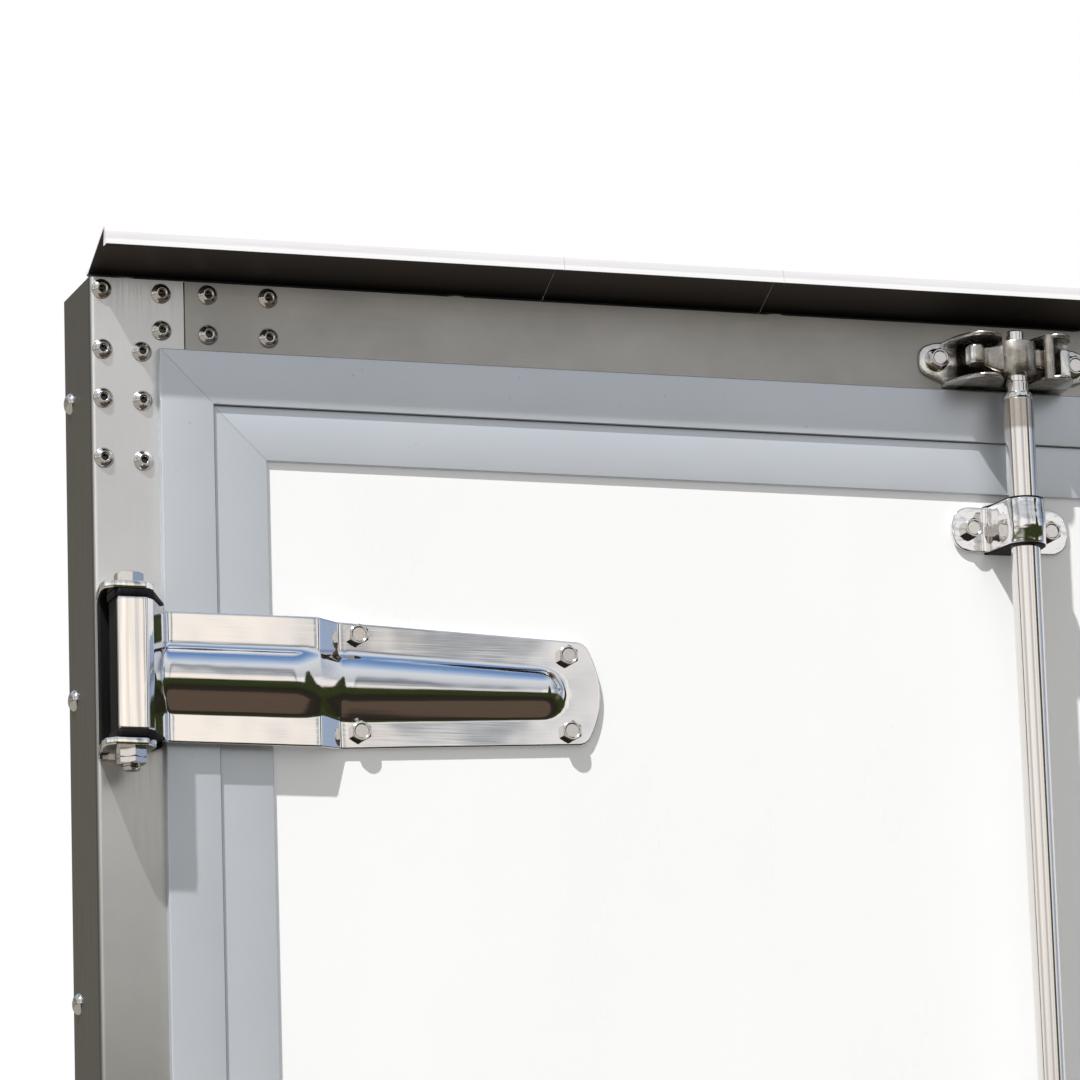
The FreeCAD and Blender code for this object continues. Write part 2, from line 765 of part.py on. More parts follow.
def handle_catch():
    """Catch on the panel: foot plate, shelf under the lever and a low ramp that keeps it in."""
    z = handle_height
    x = rod_x - pivot_offset - catch_from_pivot
    half = catch_width / 2
    shelf_top = z - lever_width / 2 - catch_gap
    ramp_start = rod_y - lever_thickness / 2 - catch_gap
    front = leaf_panel_front - catch_sheet
    plate = box(x - half, x + half, front, leaf_panel_front,
                z - catch_plate_height / 2, z + catch_plate_height / 2)
    upper = [(leaf_panel_front, shelf_top), (ramp_start, shelf_top),
             (ramp_start - catch_ramp_run, shelf_top + catch_ramp_rise)]
    under = offset_path(upper, -catch_sheet)
    return fuse([plate, prism_yz(upper + under[::-1], x - half, x + half)])


def build():
    """Make every node and write it."""
    save_pair("corner_post", [post()])
    save("header_beam", [header()])
    save("sill_beam", [sill()])
    post_core, header_core, sill_core = cores()
    save_pair("post_core", [post_core])
    save("header_core", [header_core])
    save("sill_core", [sill_core])
    save("jamb_profiles", [jamb_side(), mirrored(jamb_side()), jamb_across()])
    save("rain_gutter", [gutter()])
    save_pair("hinge_brackets", [hinge_bracket(z) for z in hinge_heights])
    save_pair("hinge_pads", [hinge_pad(z) for z in hinge_heights])
    save_pair("hinge_bolts", [hinge_bolt(z) for z in hinge_heights])
    top_keeper = keeper()
    save("keepers_top", [top_keeper, mirrored(top_keeper)])
    low_keeper = flipped(top_keeper, leaf_middle)
    save("keepers_bottom", [low_keeper, mirrored(low_keeper)])
    save_pair("leaf_panel", [leaf_panel()])
    save_pair("leaf_profiles", leaf_profile())
    save_pair("leaf_seal", [leaf_seal()])
    save_pair("hinge_straps", [hinge_strap(z) for z in hinge_heights])
    save_pair("hinge_bushes", [hinge_bush(z) for z in hinge_heights])
    save_pair("rod_guides", [rod_guide(z) for z in guide_heights()])
    save_pair("guide_bushes", [guide_bush(z) for z in guide_heights()])
    save_pair("handle_catch", [handle_catch()])
    save_pair("lock_rod", [lock_rod()])
    save_pair("rod_cams", [cam(), flipped(cam(), leaf_middle)])
    save_pair("handle_hub", [handle_hub()])
    save_pair("handle_lever", [lever()])


build()
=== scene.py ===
"""Looks of the rear door frame of a refrigerated truck body, with its two insulated doors.

Shapes are worked out in millimetres in the part's own frame: X to the right as seen from
behind the truck, Y forward into the load space, Z up. One function turns them to metres.
"""
import json
import math
from functools import partial

import bpy
import numpy as np
from mathutils import Matrix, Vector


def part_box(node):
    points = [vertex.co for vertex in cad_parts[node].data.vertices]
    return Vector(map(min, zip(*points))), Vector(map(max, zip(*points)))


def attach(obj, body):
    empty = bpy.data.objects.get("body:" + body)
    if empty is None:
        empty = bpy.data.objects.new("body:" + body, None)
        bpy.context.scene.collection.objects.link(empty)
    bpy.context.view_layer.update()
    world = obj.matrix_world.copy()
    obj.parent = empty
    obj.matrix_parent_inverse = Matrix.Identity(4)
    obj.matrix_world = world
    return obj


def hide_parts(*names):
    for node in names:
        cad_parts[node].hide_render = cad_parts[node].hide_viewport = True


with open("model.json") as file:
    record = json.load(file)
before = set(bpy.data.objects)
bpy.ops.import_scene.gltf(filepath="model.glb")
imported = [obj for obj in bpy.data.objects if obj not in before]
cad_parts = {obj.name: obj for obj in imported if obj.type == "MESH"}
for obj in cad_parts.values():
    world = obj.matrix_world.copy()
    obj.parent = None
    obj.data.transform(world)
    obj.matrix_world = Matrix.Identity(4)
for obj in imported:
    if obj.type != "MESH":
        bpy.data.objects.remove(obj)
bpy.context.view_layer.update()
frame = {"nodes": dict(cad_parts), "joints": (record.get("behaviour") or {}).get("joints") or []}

metre = 1000.0


def node_box(name):
    """Lowest and highest corner of a CAD node, in millimetres."""
    low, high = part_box(name)
    return np.array(low) * metre, np.array(high) * metre


def joint_place(name):
    """Where a joint's axis stands, in millimetres."""
    found = [joint for joint in frame["joints"] if joint["name"] == name]
    return np.array(found[0]["pos_m"]) * metre


# Places read from the frame
post_low, post_high = node_box("corner_post_left")
side = post_low[0]
top = post_high[2]
post_inner = post_high[0]
flange_depth = post_high[1]
axis_x, axis_y = joint_place("door_left_hinge")[:2]
rod_x, rod_y = joint_place("rod_left_turn")[:2]
pivot_x, _, handle_z = joint_place("handle_left_lift")
strap_low, strap_high = node_box("hinge_straps_left")
leaf_low, leaf_high = node_box("leaf_profiles_left")
jamb_low, jamb_high = node_box("jamb_profiles")
sill_top = node_box("sill_beam")[1][2]
panel_front = node_box("leaf_panel_left")[0][1]
leaf_middle = (leaf_low[2] + leaf_high[2]) / 2

# Hinge barrel, how far it reaches in from the side, and the heights of the three hinges
barrel_half = 45.0
barrel_end = 27.5
hinge_heights = np.linspace(strap_low[2] + barrel_half, strap_high[2] - barrel_half, 3)
at_hinges = [(0, 0, z) for z in hinge_heights]


# Shape tools: a shape is its points and a list of face arrays

def unit(vectors):
    """Vectors over their own length."""
    return vectors / np.linalg.norm(vectors, axis=-1, keepdims=True)


def smooth_step(value, low, high):
    """Rises from 0 at low to 1 at high along three times the share's square less twice its cube."""
    share = np.clip((value - low) / (high - low), 0, 1)
    return share * share * (3 - 2 * share)


def outward(shape):
    """The shape with faces turned outward: six times its volume is the sum, over the fan of
    triangles in each face, of the triple product of their corners, and a minus sign turns them."""
    points, faces = shape
    volume = 0.0
    for rows in faces:
        second, third = points[rows[:, 1:-1]], points[rows[:, 2:]]
        first = np.broadcast_to(points[rows[:, :1]], second.shape)
        volume += np.einsum("ijk,ijk->", first, np.cross(second, third))
    return shape if volume > 0 else (points, [rows[:, ::-1] for rows in faces])


def joined(*shapes):
    """Several shapes as one: points in a row, each face array raised by the points before it."""
    points, faces, count = [], [], 0
    for these, rows_of in shapes:
        points.append(these)
        faces += [rows + count for rows in rows_of]
        count += len(these)
    return np.concatenate(points), faces


def copies(shape, places):
    """The shape set down at several places: every point plus every place's shift."""
    points, faces = shape
    places = np.asarray(places, float)
    moved_points = (points[None] + places[:, None]).reshape(-1, 3)
    starts = np.arange(len(places))[:, None, None] * len(points)
    return moved_points, [(rows[None] + starts).reshape(-1, rows.shape[1]) for rows in faces]


def moved(shape, x, y, z):
    """The shape shifted along each axis."""
    return shape[0] + (x, y, z), shape[1]


def mirrored(shape):
    """The shape on the other side of the middle plane: X reversed, faces turned back."""
    points, faces = shape
    return points * (-1, 1, 1), [rows[:, ::-1] for rows in faces]


def both_sides(shape):
    """A shape and its mirror image in one."""
    return joined(shape, mirrored(shape))


def upended(shape, middle=0.0):
    """The shape upside down about a height: Z becomes twice the height less Z."""
    points, faces = shape
    return points * (1, 1, -1) + (0, 0, 2 * middle), [rows[:, ::-1] for rows in faces]


def facing(shape, way):
    """The shape with its Z axis turned to the rear (-Y) or to the left (-X)."""
    points, faces = shape
    x, y, z = points.T
    turned_to = {"rear": (x, -z, y), "left": (-z, y, x)}
    return np.stack(turned_to[way], -1), faces


def between(rings, across, along=False):
    """Quads from each ring of point numbers to the next, closed across the ring and, if asked,
    from the last ring back to the first."""
    later = np.roll(rings, -1, 0) if along else rings[1:]
    earlier = rings if along else rings[:-1]
    if across:
        quads = [earlier, np.roll(earlier, -1, 1), np.roll(later, -1, 1), later]
    else:
        quads = [earlier[:, :-1], earlier[:, 1:], later[:, 1:], later[:, :-1]]
    return np.stack(quads, -1).reshape(-1, 4)


def lofted(rings, hole=False):
    """A closed skin: quads join each ring to the next and a flat face closes each end. With a
    hole through it, the last ring joins the first again instead."""
    stations, around = rings.shape[:2]
    numbers = np.arange(stations * around).reshape(stations, around)
    faces = [between(numbers, True, hole)]
    if not hole:
        faces.append(np.stack([numbers[0, ::-1], numbers[-1]]))
    return outward((rings.reshape(-1, 3), faces))


def swept_round(radius, height, sides):
    """A closed skin round the Z axis: each station's radius and height, which may also change
    round the axis, times the cosine and sine of an even turn."""
    turn = np.linspace(0, 2 * np.pi, sides, endpoint=False)
    return lofted(np.stack([radius * np.cos(turn), radius * np.sin(turn), height + 0 * turn], -1))


def turned(profile, sides=32):
    """A round bar: each radius and height of the profile carried once round the Z axis."""
    radius, height = np.asarray(profile, float).T[:, :, None]
    return swept_round(radius, height, sides)


def arcs(corner, back, ahead, radius, steps):
    """The arc at each corner, given the points before and after it. Its centre lies on the
    corner's bisector, the radius over the sine of half the angle away, and its points turn
    evenly between the two places where it touches the sides."""
    back, ahead = unit(back - corner), unit(ahead - corner)
    radius = np.broadcast_to(np.asarray(radius, float), len(corner))[:, None]
    half = np.arccos(np.clip((back * ahead).sum(1, keepdims=True), -1, 1)) / 2
    centre = corner + unit(back + ahead) * radius / np.sin(half)
    start = corner + back * radius / np.tan(half) - centre
    end = corner + ahead * radius / np.tan(half) - centre
    turn = (np.pi - 2 * half)[:, :, None]
    share = np.linspace(0, 1, steps)[None, :, None]
    spread = np.sin((1 - share) * turn) * start[:, None] + np.sin(share * turn) * end[:, None]
    return centre[:, None] + spread / np.sin(turn)


def rounded(corners, radius):
    """A closed outline with an arc of five points at each corner."""
    p = np.asarray(corners, float)
    return arcs(p, np.roll(p, 1, 0), np.roll(p, -1, 0), radius, 5).reshape(-1, 2)


def bent(points, radius, step):
    """An open line with each inner corner rounded into an arc of seven points, and points every
    step or less on its straight runs."""
    p = np.asarray(points, float)
    runs, last = [], p[0]
    for arc in [*arcs(p[1:-1], p[:-2], p[2:], radius, 7), p[-1:]]:
        pieces = max(1, int(np.ceil(np.linalg.norm(arc[0] - last) / step)))
        runs.append(last + (arc[0] - last) * np.arange(pieces)[:, None] / pieces)
        runs.append(arc[:-1])
        last = arc[-1]
    return np.concatenate([*runs, p[-1:]])


def circle(radius, points=56):
    """An outline round the Z axis."""
    turn = np.linspace(0, 2 * np.pi, points, endpoint=False)
    return np.stack([radius * np.cos(turn), radius * np.sin(turn)], -1)


def oblong(x0, x1, z0, z1, radius):
    """A rectangle's outline with rounded corners."""
    return rounded([(x0, z0), (x1, z0), (x1, z1), (x0, z1)], radius)


def mitres(outline):
    """At each corner of a closed outline, the inward step that moves both its sides in by one:
    the sum of the sides' inward normals over one plus their dot product."""
    run = unit(np.roll(outline, -1, 0) - outline)
    x, y = outline.T
    sense = np.sign((x * np.roll(y, -1) - np.roll(x, -1) * y).sum())
    normal = np.stack([-run[:, 1], run[:, 0]], -1) * sense
    before = np.roll(normal, 1, 0)
    return (normal + before) / (1 + (normal * before).sum(1, keepdims=True))


def rolled(outline, low, high, edge, steps):
    """An outline carried from low to high with rolled edges: at both faces it is drawn in by the
    edge radius, and it is let out to full size along a quarter circle. Gives rings and heights."""
    arc = np.linspace(0, np.pi / 2, steps)
    draw = edge * (1 - np.sin(arc))
    rise = edge * (1 - np.cos(arc))
    depth = np.concatenate([draw, draw[::-1]])[:, None, None]
    return outline + mitres(outline) * depth, np.concatenate([low + rise, high - rise[::-1]])


def slab(outline, low, high, edge, axes="xyz"):
    """A plate with rolled edges. The three letters say where the outline's two directions and
    its thickness go."""
    flat, height = rolled(np.asarray(outline, float), low, high, edge, 4)
    rings = np.empty(flat.shape[:2] + (3,))
    for axis, values in zip(axes, (flat[..., 0], flat[..., 1], height[:, None])):
        rings[..., "xyz".index(axis)] = values
    return lofted(rings)


def collar(outline, bore, low, high, edge, centre=(0, 0)):
    """A plate with a round hole: outer rings follow the outline with rolled edges, inner rings
    put a point of the bore's circle on the line from its centre to each outline point."""
    outer, height = rolled(np.asarray(outline, float), low, high, edge, 3)
    inner = centre + unit(outline - np.asarray(centre)) * bore
    flat = np.concatenate([outer, inner[None], inner[None]])
    height = np.concatenate([height, [high, low]])[:, None, None]
    return lofted(np.concatenate([flat, height + 0 * flat[..., :1]], -1), True)


def pressed(outer, thickness, edge):
    """A sheet pressed to shape. The outer face is a grid whose first direction crossed with its
    second points out of the metal. The inner face lies one thickness behind it along the grid's
    normals, and a border rolled out by the edge radius joins the two all the way round."""
    rows, columns = outer.shape[:2]
    normal = unit(np.cross(np.gradient(outer, axis=0), np.gradient(outer, axis=1)))
    inner = outer - normal * thickness
    count = rows * columns
    numbers = np.arange(count).reshape(rows, columns)
    border = np.concatenate([numbers[0, :-1], numbers[:-1, -1], numbers[-1, :0:-1], numbers[:0:-1, 0]])
    rim, up = outer.reshape(-1, 3)[border], normal.reshape(-1, 3)[border]
    out = unit(np.cross(up, np.roll(rim, -1, 0) - np.roll(rim, 1, 0)))
    arc = np.linspace(0, np.pi / 2, 5)[1:, None, None]
    reach, drop = edge * np.sin(arc), edge * (1 - np.cos(arc))
    reach, drop = np.concatenate([reach, reach[::-1]]), np.concatenate([drop, thickness - drop[::-1]])
    lip = rim + out * reach - up * drop
    rings = np.arange(len(lip) * len(border)).reshape(len(lip), -1) + 2 * count
    rings = np.concatenate([border[None], rings, border[None] + count])
    points = np.concatenate([outer.reshape(-1, 3), inner.reshape(-1, 3), lip.reshape(-1, 3)])
    faces = [between(numbers, False)[:, ::-1], between(numbers + count, False), between(rings, True)]
    return outward((points, faces))


def mitred_lengths(profile, corners, hairline):
    """Lengths of one profile round a run of corners in X and Z. A profile point is how far it
    lies inward of the run and how deep. At a corner it steps along the mitre of the two runs,
    and each length is held back by half a hairline."""
    corners, profile = np.asarray(corners, float), np.asarray(profile, float)
    run = unit(corners[1:] - corners[:-1])
    inward = np.stack([run[:, 1], -run[:, 0]], -1)
    before = np.concatenate([inward[:1], inward])
    after = np.concatenate([inward, inward[-1:]])
    if np.allclose(corners[0], corners[-1]):
        before[0], after[-1] = inward[-1], inward[0]
    mitre = (before + after) / (1 + (before * after).sum(1, keepdims=True))
    lengths = []
    for i, along in enumerate(run):
        rings = []
        for end, back in ((i, hairline), (i + 1, -hairline)):
            flat = corners[end] + mitre[end] * profile[:, :1] + along * back / 2
            rings.append(np.stack([flat[:, 0], profile[:, 1], flat[:, 1]], -1))
        lengths.append(lofted(np.stack(rings)))
    return joined(*lengths)


def hex_bolt(flats, height, crown=0.6):
    """A hexagon head on the Z axis. Round the axis its radius is half the flats over the cosine
    of the angle from the nearest flat. The top is a rim round a dished disc, and the chamfer of
    30 degrees down to the sides falls where the hexagon reaches past the rim."""
    sides = 48
    turn = np.linspace(0, 2 * np.pi, sides, endpoint=False)
    sixth = np.pi / 3
    off_flat = np.abs((turn + sixth / 2) % sixth - sixth / 2)
    outer = flats / 2 / np.cos(off_flat)
    rim = flats / 2 * 0.94
    shoulder = height - (outer - rim) * math.tan(math.radians(30)) - 0.1
    rings = [(outer, 0), (outer, shoulder), (rim, height), (rim - crown, height),
             (rim - crown * 2.6, height - crown * 1.3)]
    radius, z = np.array([(wide + 0 * turn, high + 0 * turn) for wide, high in rings]).swapaxes(0, 1)
    return swept_round(radius, z, sides)


# Finishes

def srgb(code):
    """Linear colour of an sRGB hex code: over 12.92 near black, else the 2.4 power curve."""
    value = np.array([int(code[i:i + 2], 16) / 255 for i in (1, 3, 5)])
    linear = np.where(value <= 0.04045, value / 12.92, ((value + 0.055) / 1.055) ** 2.4)
    return (*linear.tolist(), 1.0)


def add(tree, kind, inputs=(), out=None, **settings):
    """Add a node with its properties set, and set or link its inputs: a row fills the inputs that
    the node shows in their order, a dictionary goes by name, and a hex code becomes its colour.
    The first output that the node shows comes back, or the one asked for by name."""
    made = tree.nodes.new("ShaderNode" + kind)
    for name, value in settings.items():
        setattr(made, name, value)
    sockets = [socket for socket in made.inputs if socket.enabled]
    if isinstance(inputs, dict):
        sockets = [made.inputs[name] for name in inputs]
        inputs = inputs.values()
    for socket, value in zip(sockets, inputs):
        if isinstance(value, bpy.types.NodeSocket):
            tree.links.new(value, socket)
        else:
            socket.default_value = srgb(value) if isinstance(value, str) else value
    given = [socket for socket in made.outputs if socket.enabled and out in (None, socket.name)]
    return given[0] if given else made


def blank(name):
    """A new material, what adds a node to its emptied tree, and its object coordinates."""
    material = bpy.data.materials.new(name)
    material.use_nodes = True
    material.node_tree.nodes.clear()
    node = partial(add, material.node_tree)
    return material, node, node("TexCoord", out="Object")


def grain(node, place, size, detail=2.0, stretch=(1, 1, 1)):
    """A cloudy pattern with features of a size in millimetres, drawn out by a stretch on each
    axis. The noise scale is in features to the metre."""
    drawn = node("Mapping", {"Vector": place, "Scale": tuple(1 / s for s in stretch)})
    return node("TexNoise", {"Vector": drawn, "Scale": metre / size, "Detail": detail})


def toned(node, value, low, high, dark, light, blend="MIX"):
    """A colour that goes from one to another as a value goes from low to high."""
    share = node("MapRange", (value, low, high))
    return node("Mix", (share, dark, light), data_type="RGBA", blend_type=blend)


def shaded(node, inputs, height, depth, under=None):
    """Close the tree with one Principled shader, its skin raised by a pattern's height that
    stands out by a depth in millimetres, over another such skin if there is one."""
    bump = {"Height": height, "Distance": depth / metre}
    if under:
        bump["Normal"] = under
    shader = node("BsdfPrincipled", {**inputs, "Normal": node("Bump", bump)})
    node("OutputMaterial", {"Surface": shader})


def facing_share(node, axis, low, high):
    """How far a face looks along an axis: 0 where that part of its normal is low, 1 where high.
    When both are above 0 a face counts whichever way it looks along the axis."""
    part = node("SeparateXYZ", (node("TexCoord", out="Normal"),), out=axis)
    if min(low, high) > 0:
        part = node("Math", (part,), operation="ABSOLUTE")
    return node("MapRange", (part, low, high))


def ground_stainless(name, dark, light, along, roughness, metal, painted_shade):
    """Stainless steel sheet with a fine ground finish: short soft streaks along one axis, and a
    cloudy haze left by rolling and wiping, so the sheen wanders a little across the sheet. The
    painted shade is an axis, how far a face must look along it to be painted darker, and that
    tone, then the two heights between which a painted darkening toward the bottom sets in, in
    place of darker reflections low down, and that tone."""
    axis, clear, full, shade_tone, high, low, low_shade_tone = painted_shade
    material, node, place = blank(name)
    streaks = grain(node, place, 0.9, 3.0, [60.0 if letter == along else 1.0 for letter in "XYZ"])
    haze = grain(node, place, 90.0, 4.0)
    stains = grain(node, place, 14.0, 5.0)
    share = node("Math", (streaks, 0.45, haze), operation="MULTIPLY_ADD")
    share = node("Math", (stains, 0.25, share), operation="MULTIPLY_ADD")
    colour = toned(node, share, 0.6, 1.1, dark, light)
    # Painted shade: darker toward the bottom between two heights, in place of darker reflections low down
    height = node("SeparateXYZ", (place,), out="Z")
    colour = toned(node, height, high / metre, low / metre, colour, low_shade_tone, "MULTIPLY")
    # Painted shade: faces that look along the axis take the darker tone
    colour = node("Mix", (facing_share(node, axis, clear, full), colour, shade_tone), data_type="RGBA")
    gloss = node("MapRange", (streaks, 0.3, 0.7, roughness - 0.05, roughness + 0.05))
    under = node("Bump", {"Height": haze, "Distance": 0.25 / metre})
    shaded(node, {"Base Color": colour, "Metallic": metal, "Roughness": gloss}, streaks, 0.012, under)
    return material


def polished_stainless(name, ripple, size, barrel):
    """Pressed stainless steel, buffed to a mirror: near-clear reflections that wave where the
    buff has followed the pressing, drawn into long streaks. Beyond a distance from the middle
    plane, on the hinge's barrel, the buff has run upright and left soft streaks."""
    material, node, place = blank(name)
    wave = grain(node, place, size, 2.0, (1.6, 1.0, 1.0))
    drawn = grain(node, place, 3.2, 3.0, (34.0, 1.0, 1.0))
    hairlines = grain(node, place, 0.5, 2.0, (80.0, 1.0, 1.0))
    upright = grain(node, place, 5.0, 4.0, (1.0, 1.0, 40.0))
    off_middle = node("Math", (node("SeparateXYZ", (place,)),), operation="ABSOLUTE")
    on_barrel = node("MapRange", (off_middle, (barrel - 0.5) / metre, (barrel + 0.5) / metre))
    across = toned(node, hairlines, 0.3, 0.7, "#E7E6E6", "#EFEEED")
    along = toned(node, upright, 0.38, 0.6, "#CBCED2", "#FDF8F3")
    colour = node("Mix", (on_barrel, across, along), data_type="RGBA")
    height = node("Mix", (on_barrel, drawn, upright))
    gloss = node("MapRange", (hairlines, 0.35, 0.75, 0.05, 0.1))
    under = node("Bump", {"Height": wave, "Distance": ripple / metre})
    shaded(node, {"Base Color": colour, "Metallic": 1.0, "Roughness": gloss}, height, 0.035, under)
    return material


def drawn_tube(name, colour, low, high):
    """Drawn stainless tube, polished along its length: fine upright lines that split the sheen
    into bright and dark strips. A band below each turned end is left satin and a little brown
    from the heat of the weld. The band lies between two distances from the tube's middle."""
    material, node, place = blank(name)
    lines = grain(node, place, 1.6, 2.0, (1.0, 1.0, 500.0))
    rings = grain(node, place, 0.7, 2.0, (8.0, 8.0, 1.0))
    height = node("SeparateXYZ", (place,), out="Z")
    off = node("Math", (height, leaf_middle / metre), operation="SUBTRACT")
    off = node("Math", (off,), operation="ABSOLUTE")
    above = node("MapRange", (off, (low - 1.5) / metre, (low + 1.5) / metre))
    below = node("MapRange", (off, high / metre, (high + 0.5) / metre, 1.0, 0.0))
    band = node("Math", (above, below), operation="MULTIPLY")
    clear = node("MapRange", (lines, 0.3, 0.7, 0.07, 0.14))
    satin = node("MapRange", (rings, 0.3, 0.7, 0.17, 0.26))
    gloss = node("Mix", (band, clear, satin))
    colour = node("Mix", (band, colour, "#BDB5AC"), data_type="RGBA")
    shaded(node, {"Base Color": colour, "Metallic": 0.95, "Roughness": gloss}, lines, 0.03)
    return material


def cast_stainless(name, dark, light, depth, inset, reach):
    """Investment-cast stainless steel, tumbled: a grainy satin skin in warm grey. Painted shade
    darkens the hollow between the flanges to near black, in patches: within a reach of the rod's
    middle line and no farther out than a depth. The ears beyond that reach are buffed bright."""
    material, node, place = blank(name)
    skin = grain(node, place, 0.9, 3.0)
    cloud = grain(node, place, 8.0, 3.0)
    share = node("Math", (skin, 0.5, cloud), operation="MULTIPLY_ADD")
    colour = toned(node, share, 0.5, 1.0, dark, light)
    x, y, _ = node("SeparateXYZ", (place,)).node.outputs
    off = node("Math", (x,), operation="ABSOLUTE")
    off = node("Math", (off, inset / metre), operation="SUBTRACT")
    off = node("Math", (off,), operation="ABSOLUTE")
    within = node("MapRange", (off, (reach - 2.0) / metre, (reach + 2.0) / metre, 1.0, 0.0))
    # Painted shade: the hollow near the plate, within the reach, is darkened in patches
    deep = node("MapRange", (y, -depth / metre, (4.0 - depth) / metre))
    recess_shade = node("Math", (within, deep), operation="MULTIPLY")
    patchy = node("MapRange", (cloud, 0.3, 0.6, 0.6, 1.0))
    recess_shade = node("Math", (recess_shade, patchy), operation="MULTIPLY")
    colour = node("Mix", (recess_shade, colour, "#2A231E"), data_type="RGBA")
    colour = node("Mix", (within, "#E2E1DF", colour), data_type="RGBA")
    satin = node("MapRange", (cloud, 0.35, 0.65, 0.20, 0.32))
    gloss = node("Mix", (within, 0.12, satin))
    shaded(node, {"Base Color": colour, "Metallic": 0.9, "Roughness": gloss}, skin, 0.06)
    return material


def rolled_strip(name, foot, highlight_top):
    """Rolled stainless strip for the gutter: almost white, with a painted highlight on all that lies
    below a height along the lip's foot, and painted shade on faces that look down, brown and
    blackening toward the root."""
    material, node, place = blank(name)
    streaks = grain(node, place, 1.1, 3.0, (60.0, 1.0, 1.0))
    colour = toned(node, streaks, 0.3, 0.7, "#E3DFE0", "#ECE8E9")
    height = node("SeparateXYZ", (place,), out="Z")
    # Painted highlight: everything below a height along the lip's foot is brighter
    on_painted_highlight = node("MapRange", (height, highlight_top / metre, (highlight_top + 1.0) / metre, 1.0, 0.0))
    colour = node("Mix", (on_painted_highlight, colour, "#FBFAFA"), data_type="RGBA")
    # Painted shade: faces that look down are brown, blackening toward the root
    under = toned(node, height, foot / metre, (foot + 20.0) / metre, "#120F0C", "#544A42")
    colour = node("Mix", (facing_share(node, "Z", 0.0, -0.25), colour, under), data_type="RGBA")
    shaded(node, {"Base Color": colour, "Metallic": 0.15, "Roughness": 0.38}, streaks, 0.01)
    return material


def turned_steel(name, colour):
    """Cold-headed stainless bolts and rivets: bright, with a slight drag of the die."""
    material, node, place = blank(name)
    drag = grain(node, place, 1.2, 3.0)
    gloss = node("MapRange", (drag, 0.35, 0.7, 0.08, 0.17))
    shaded(node, {"Base Color": colour, "Metallic": 1.0, "Roughness": gloss}, drag, 0.03)
    return material


def satin_aluminium(name, dark, light):
    """Extruded aluminium with a satin lacquer: even blue-grey, with faint drawing lines along
    the length and a very few specks of dust."""
    material, node, place = blank(name)
    lines = grain(node, place, 1.5, 2.0, (60.0, 1.0, 60.0))
    cloud = grain(node, place, 160.0, 3.0)
    specks = node("MapRange", (grain(node, place, 5.0, 1.0), 0.78, 0.84))
    share = node("Math", (lines, 0.3, cloud), operation="MULTIPLY_ADD")
    colour = toned(node, share, 0.4, 0.9, dark, light)
    share = node("Math", (specks, 0.3), operation="MULTIPLY")
    colour = node("Mix", (share, colour, "#8C9094"), data_type="RGBA")
    shaded(node, {"Base Color": colour, "Metallic": 0.65, "Roughness": 0.42}, lines, 0.004)
    return material


def gel_coat(name, dark, light):
    """Glass-fibre sheet with a moulded gel coat: clean white gloss, with a ripple too slight to
    see but in its highlights, and faint wiping smudges."""
    material, node, place = blank(name)
    smudge = grain(node, place, 120.0, 5.0, (1.0, 1.0, 2.4))
    colour = toned(node, smudge, 0.35, 0.65, dark, light)
    gloss = node("MapRange", (smudge, 0.35, 0.65, 0.26, 0.38))
    shaded(node, {"Base Color": colour, "Roughness": gloss}, grain(node, place, 22.0), 0.06)
    return material


def moulded_polymer(name, dark, light, roughness):
    """Moulded black polymer: fine flow lines and a dry, slightly dusty skin."""
    material, node, place = blank(name)
    flow = grain(node, place, 2.2, 3.0, (1.0, 1.0, 14.0))
    dust = node("Math", (flow, grain(node, place, 0.7)), operation="MULTIPLY")
    colour = toned(node, dust, 0.15, 0.42, dark, light)
    inputs = {"Base Color": colour, "Roughness": roughness, "Specular IOR Level": 0.18}
    shaded(node, inputs, flow, 0.05)
    return material


def cut_foam(name, dark, light):
    """Rigid foam and board with sawn faces: pale cells of 2.4 mm and a soft dusty face."""
    material, node, place = blank(name)
    cells = node("TexVoronoi", {"Vector": place, "Scale": metre / 2.4})
    share = node("Math", (cells, 0.6, grain(node, place, 30.0, 3.0)), operation="MULTIPLY_ADD")
    colour = toned(node, share, 0.4, 1.0, dark, light)
    shaded(node, {"Base Color": colour, "Roughness": 0.85}, cells, 0.4)
    return material


# Where painted shade and the weld's scorch lie, then each finish
# Painted shade: side faces of post and sill and undersides of the header are darker; the post darkens low
# down
post_painted_shade = "X", 0.5, 0.9, "#6A6863", top - 250.0, top - 600.0, "#BEBDB8"
header_painted_shade = "Z", -0.3, -0.9, "#7A756E", top - 600.0, top - 700.0, "#B5B4B0"
rod_scorch = top - 83.0 - leaf_middle, top - 62.0 - leaf_middle
hollow_depth, hollow_reach = 12.0, 36.0
gutter_root, gutter_highlight_top = top + 2.7, top + 14.2
post_steel = ground_stainless("post_steel_ground_sheet", "#DCDBD9", "#E6E6E4", "Z", 0.36, 0.85, post_painted_shade)
# The header takes the post's steel in darker tones: painted shade for the gutter's shadow
header_steel_shaded_copy = ground_stainless("header_steel_ground_sheet", "#B0ADA8", "#C8C5C0", "X", 0.42, 0.8,
                                header_painted_shade)
gutter_steel = rolled_strip("gutter_steel_rolled_strip", gutter_root, gutter_highlight_top)
mirror_steel = polished_stainless("strap_steel_mirror_buffed", 0.55, 50.0, -side - barrel_end)
guide_steel = polished_stainless("guide_steel_hand_buffed", 0.9, 13.0, 10 * metre)
tube_steel = drawn_tube("rod_steel_drawn_tube", "#E6E3E0", *rod_scorch)
cast_steel = cast_stainless("keeper_steel_cast_tumbled", "#8F8880", "#C6BFB6", hollow_depth, -rod_x,
                            hollow_reach)
bolt_steel = turned_steel("bolt_steel_cold_headed", "#D5D2CE")
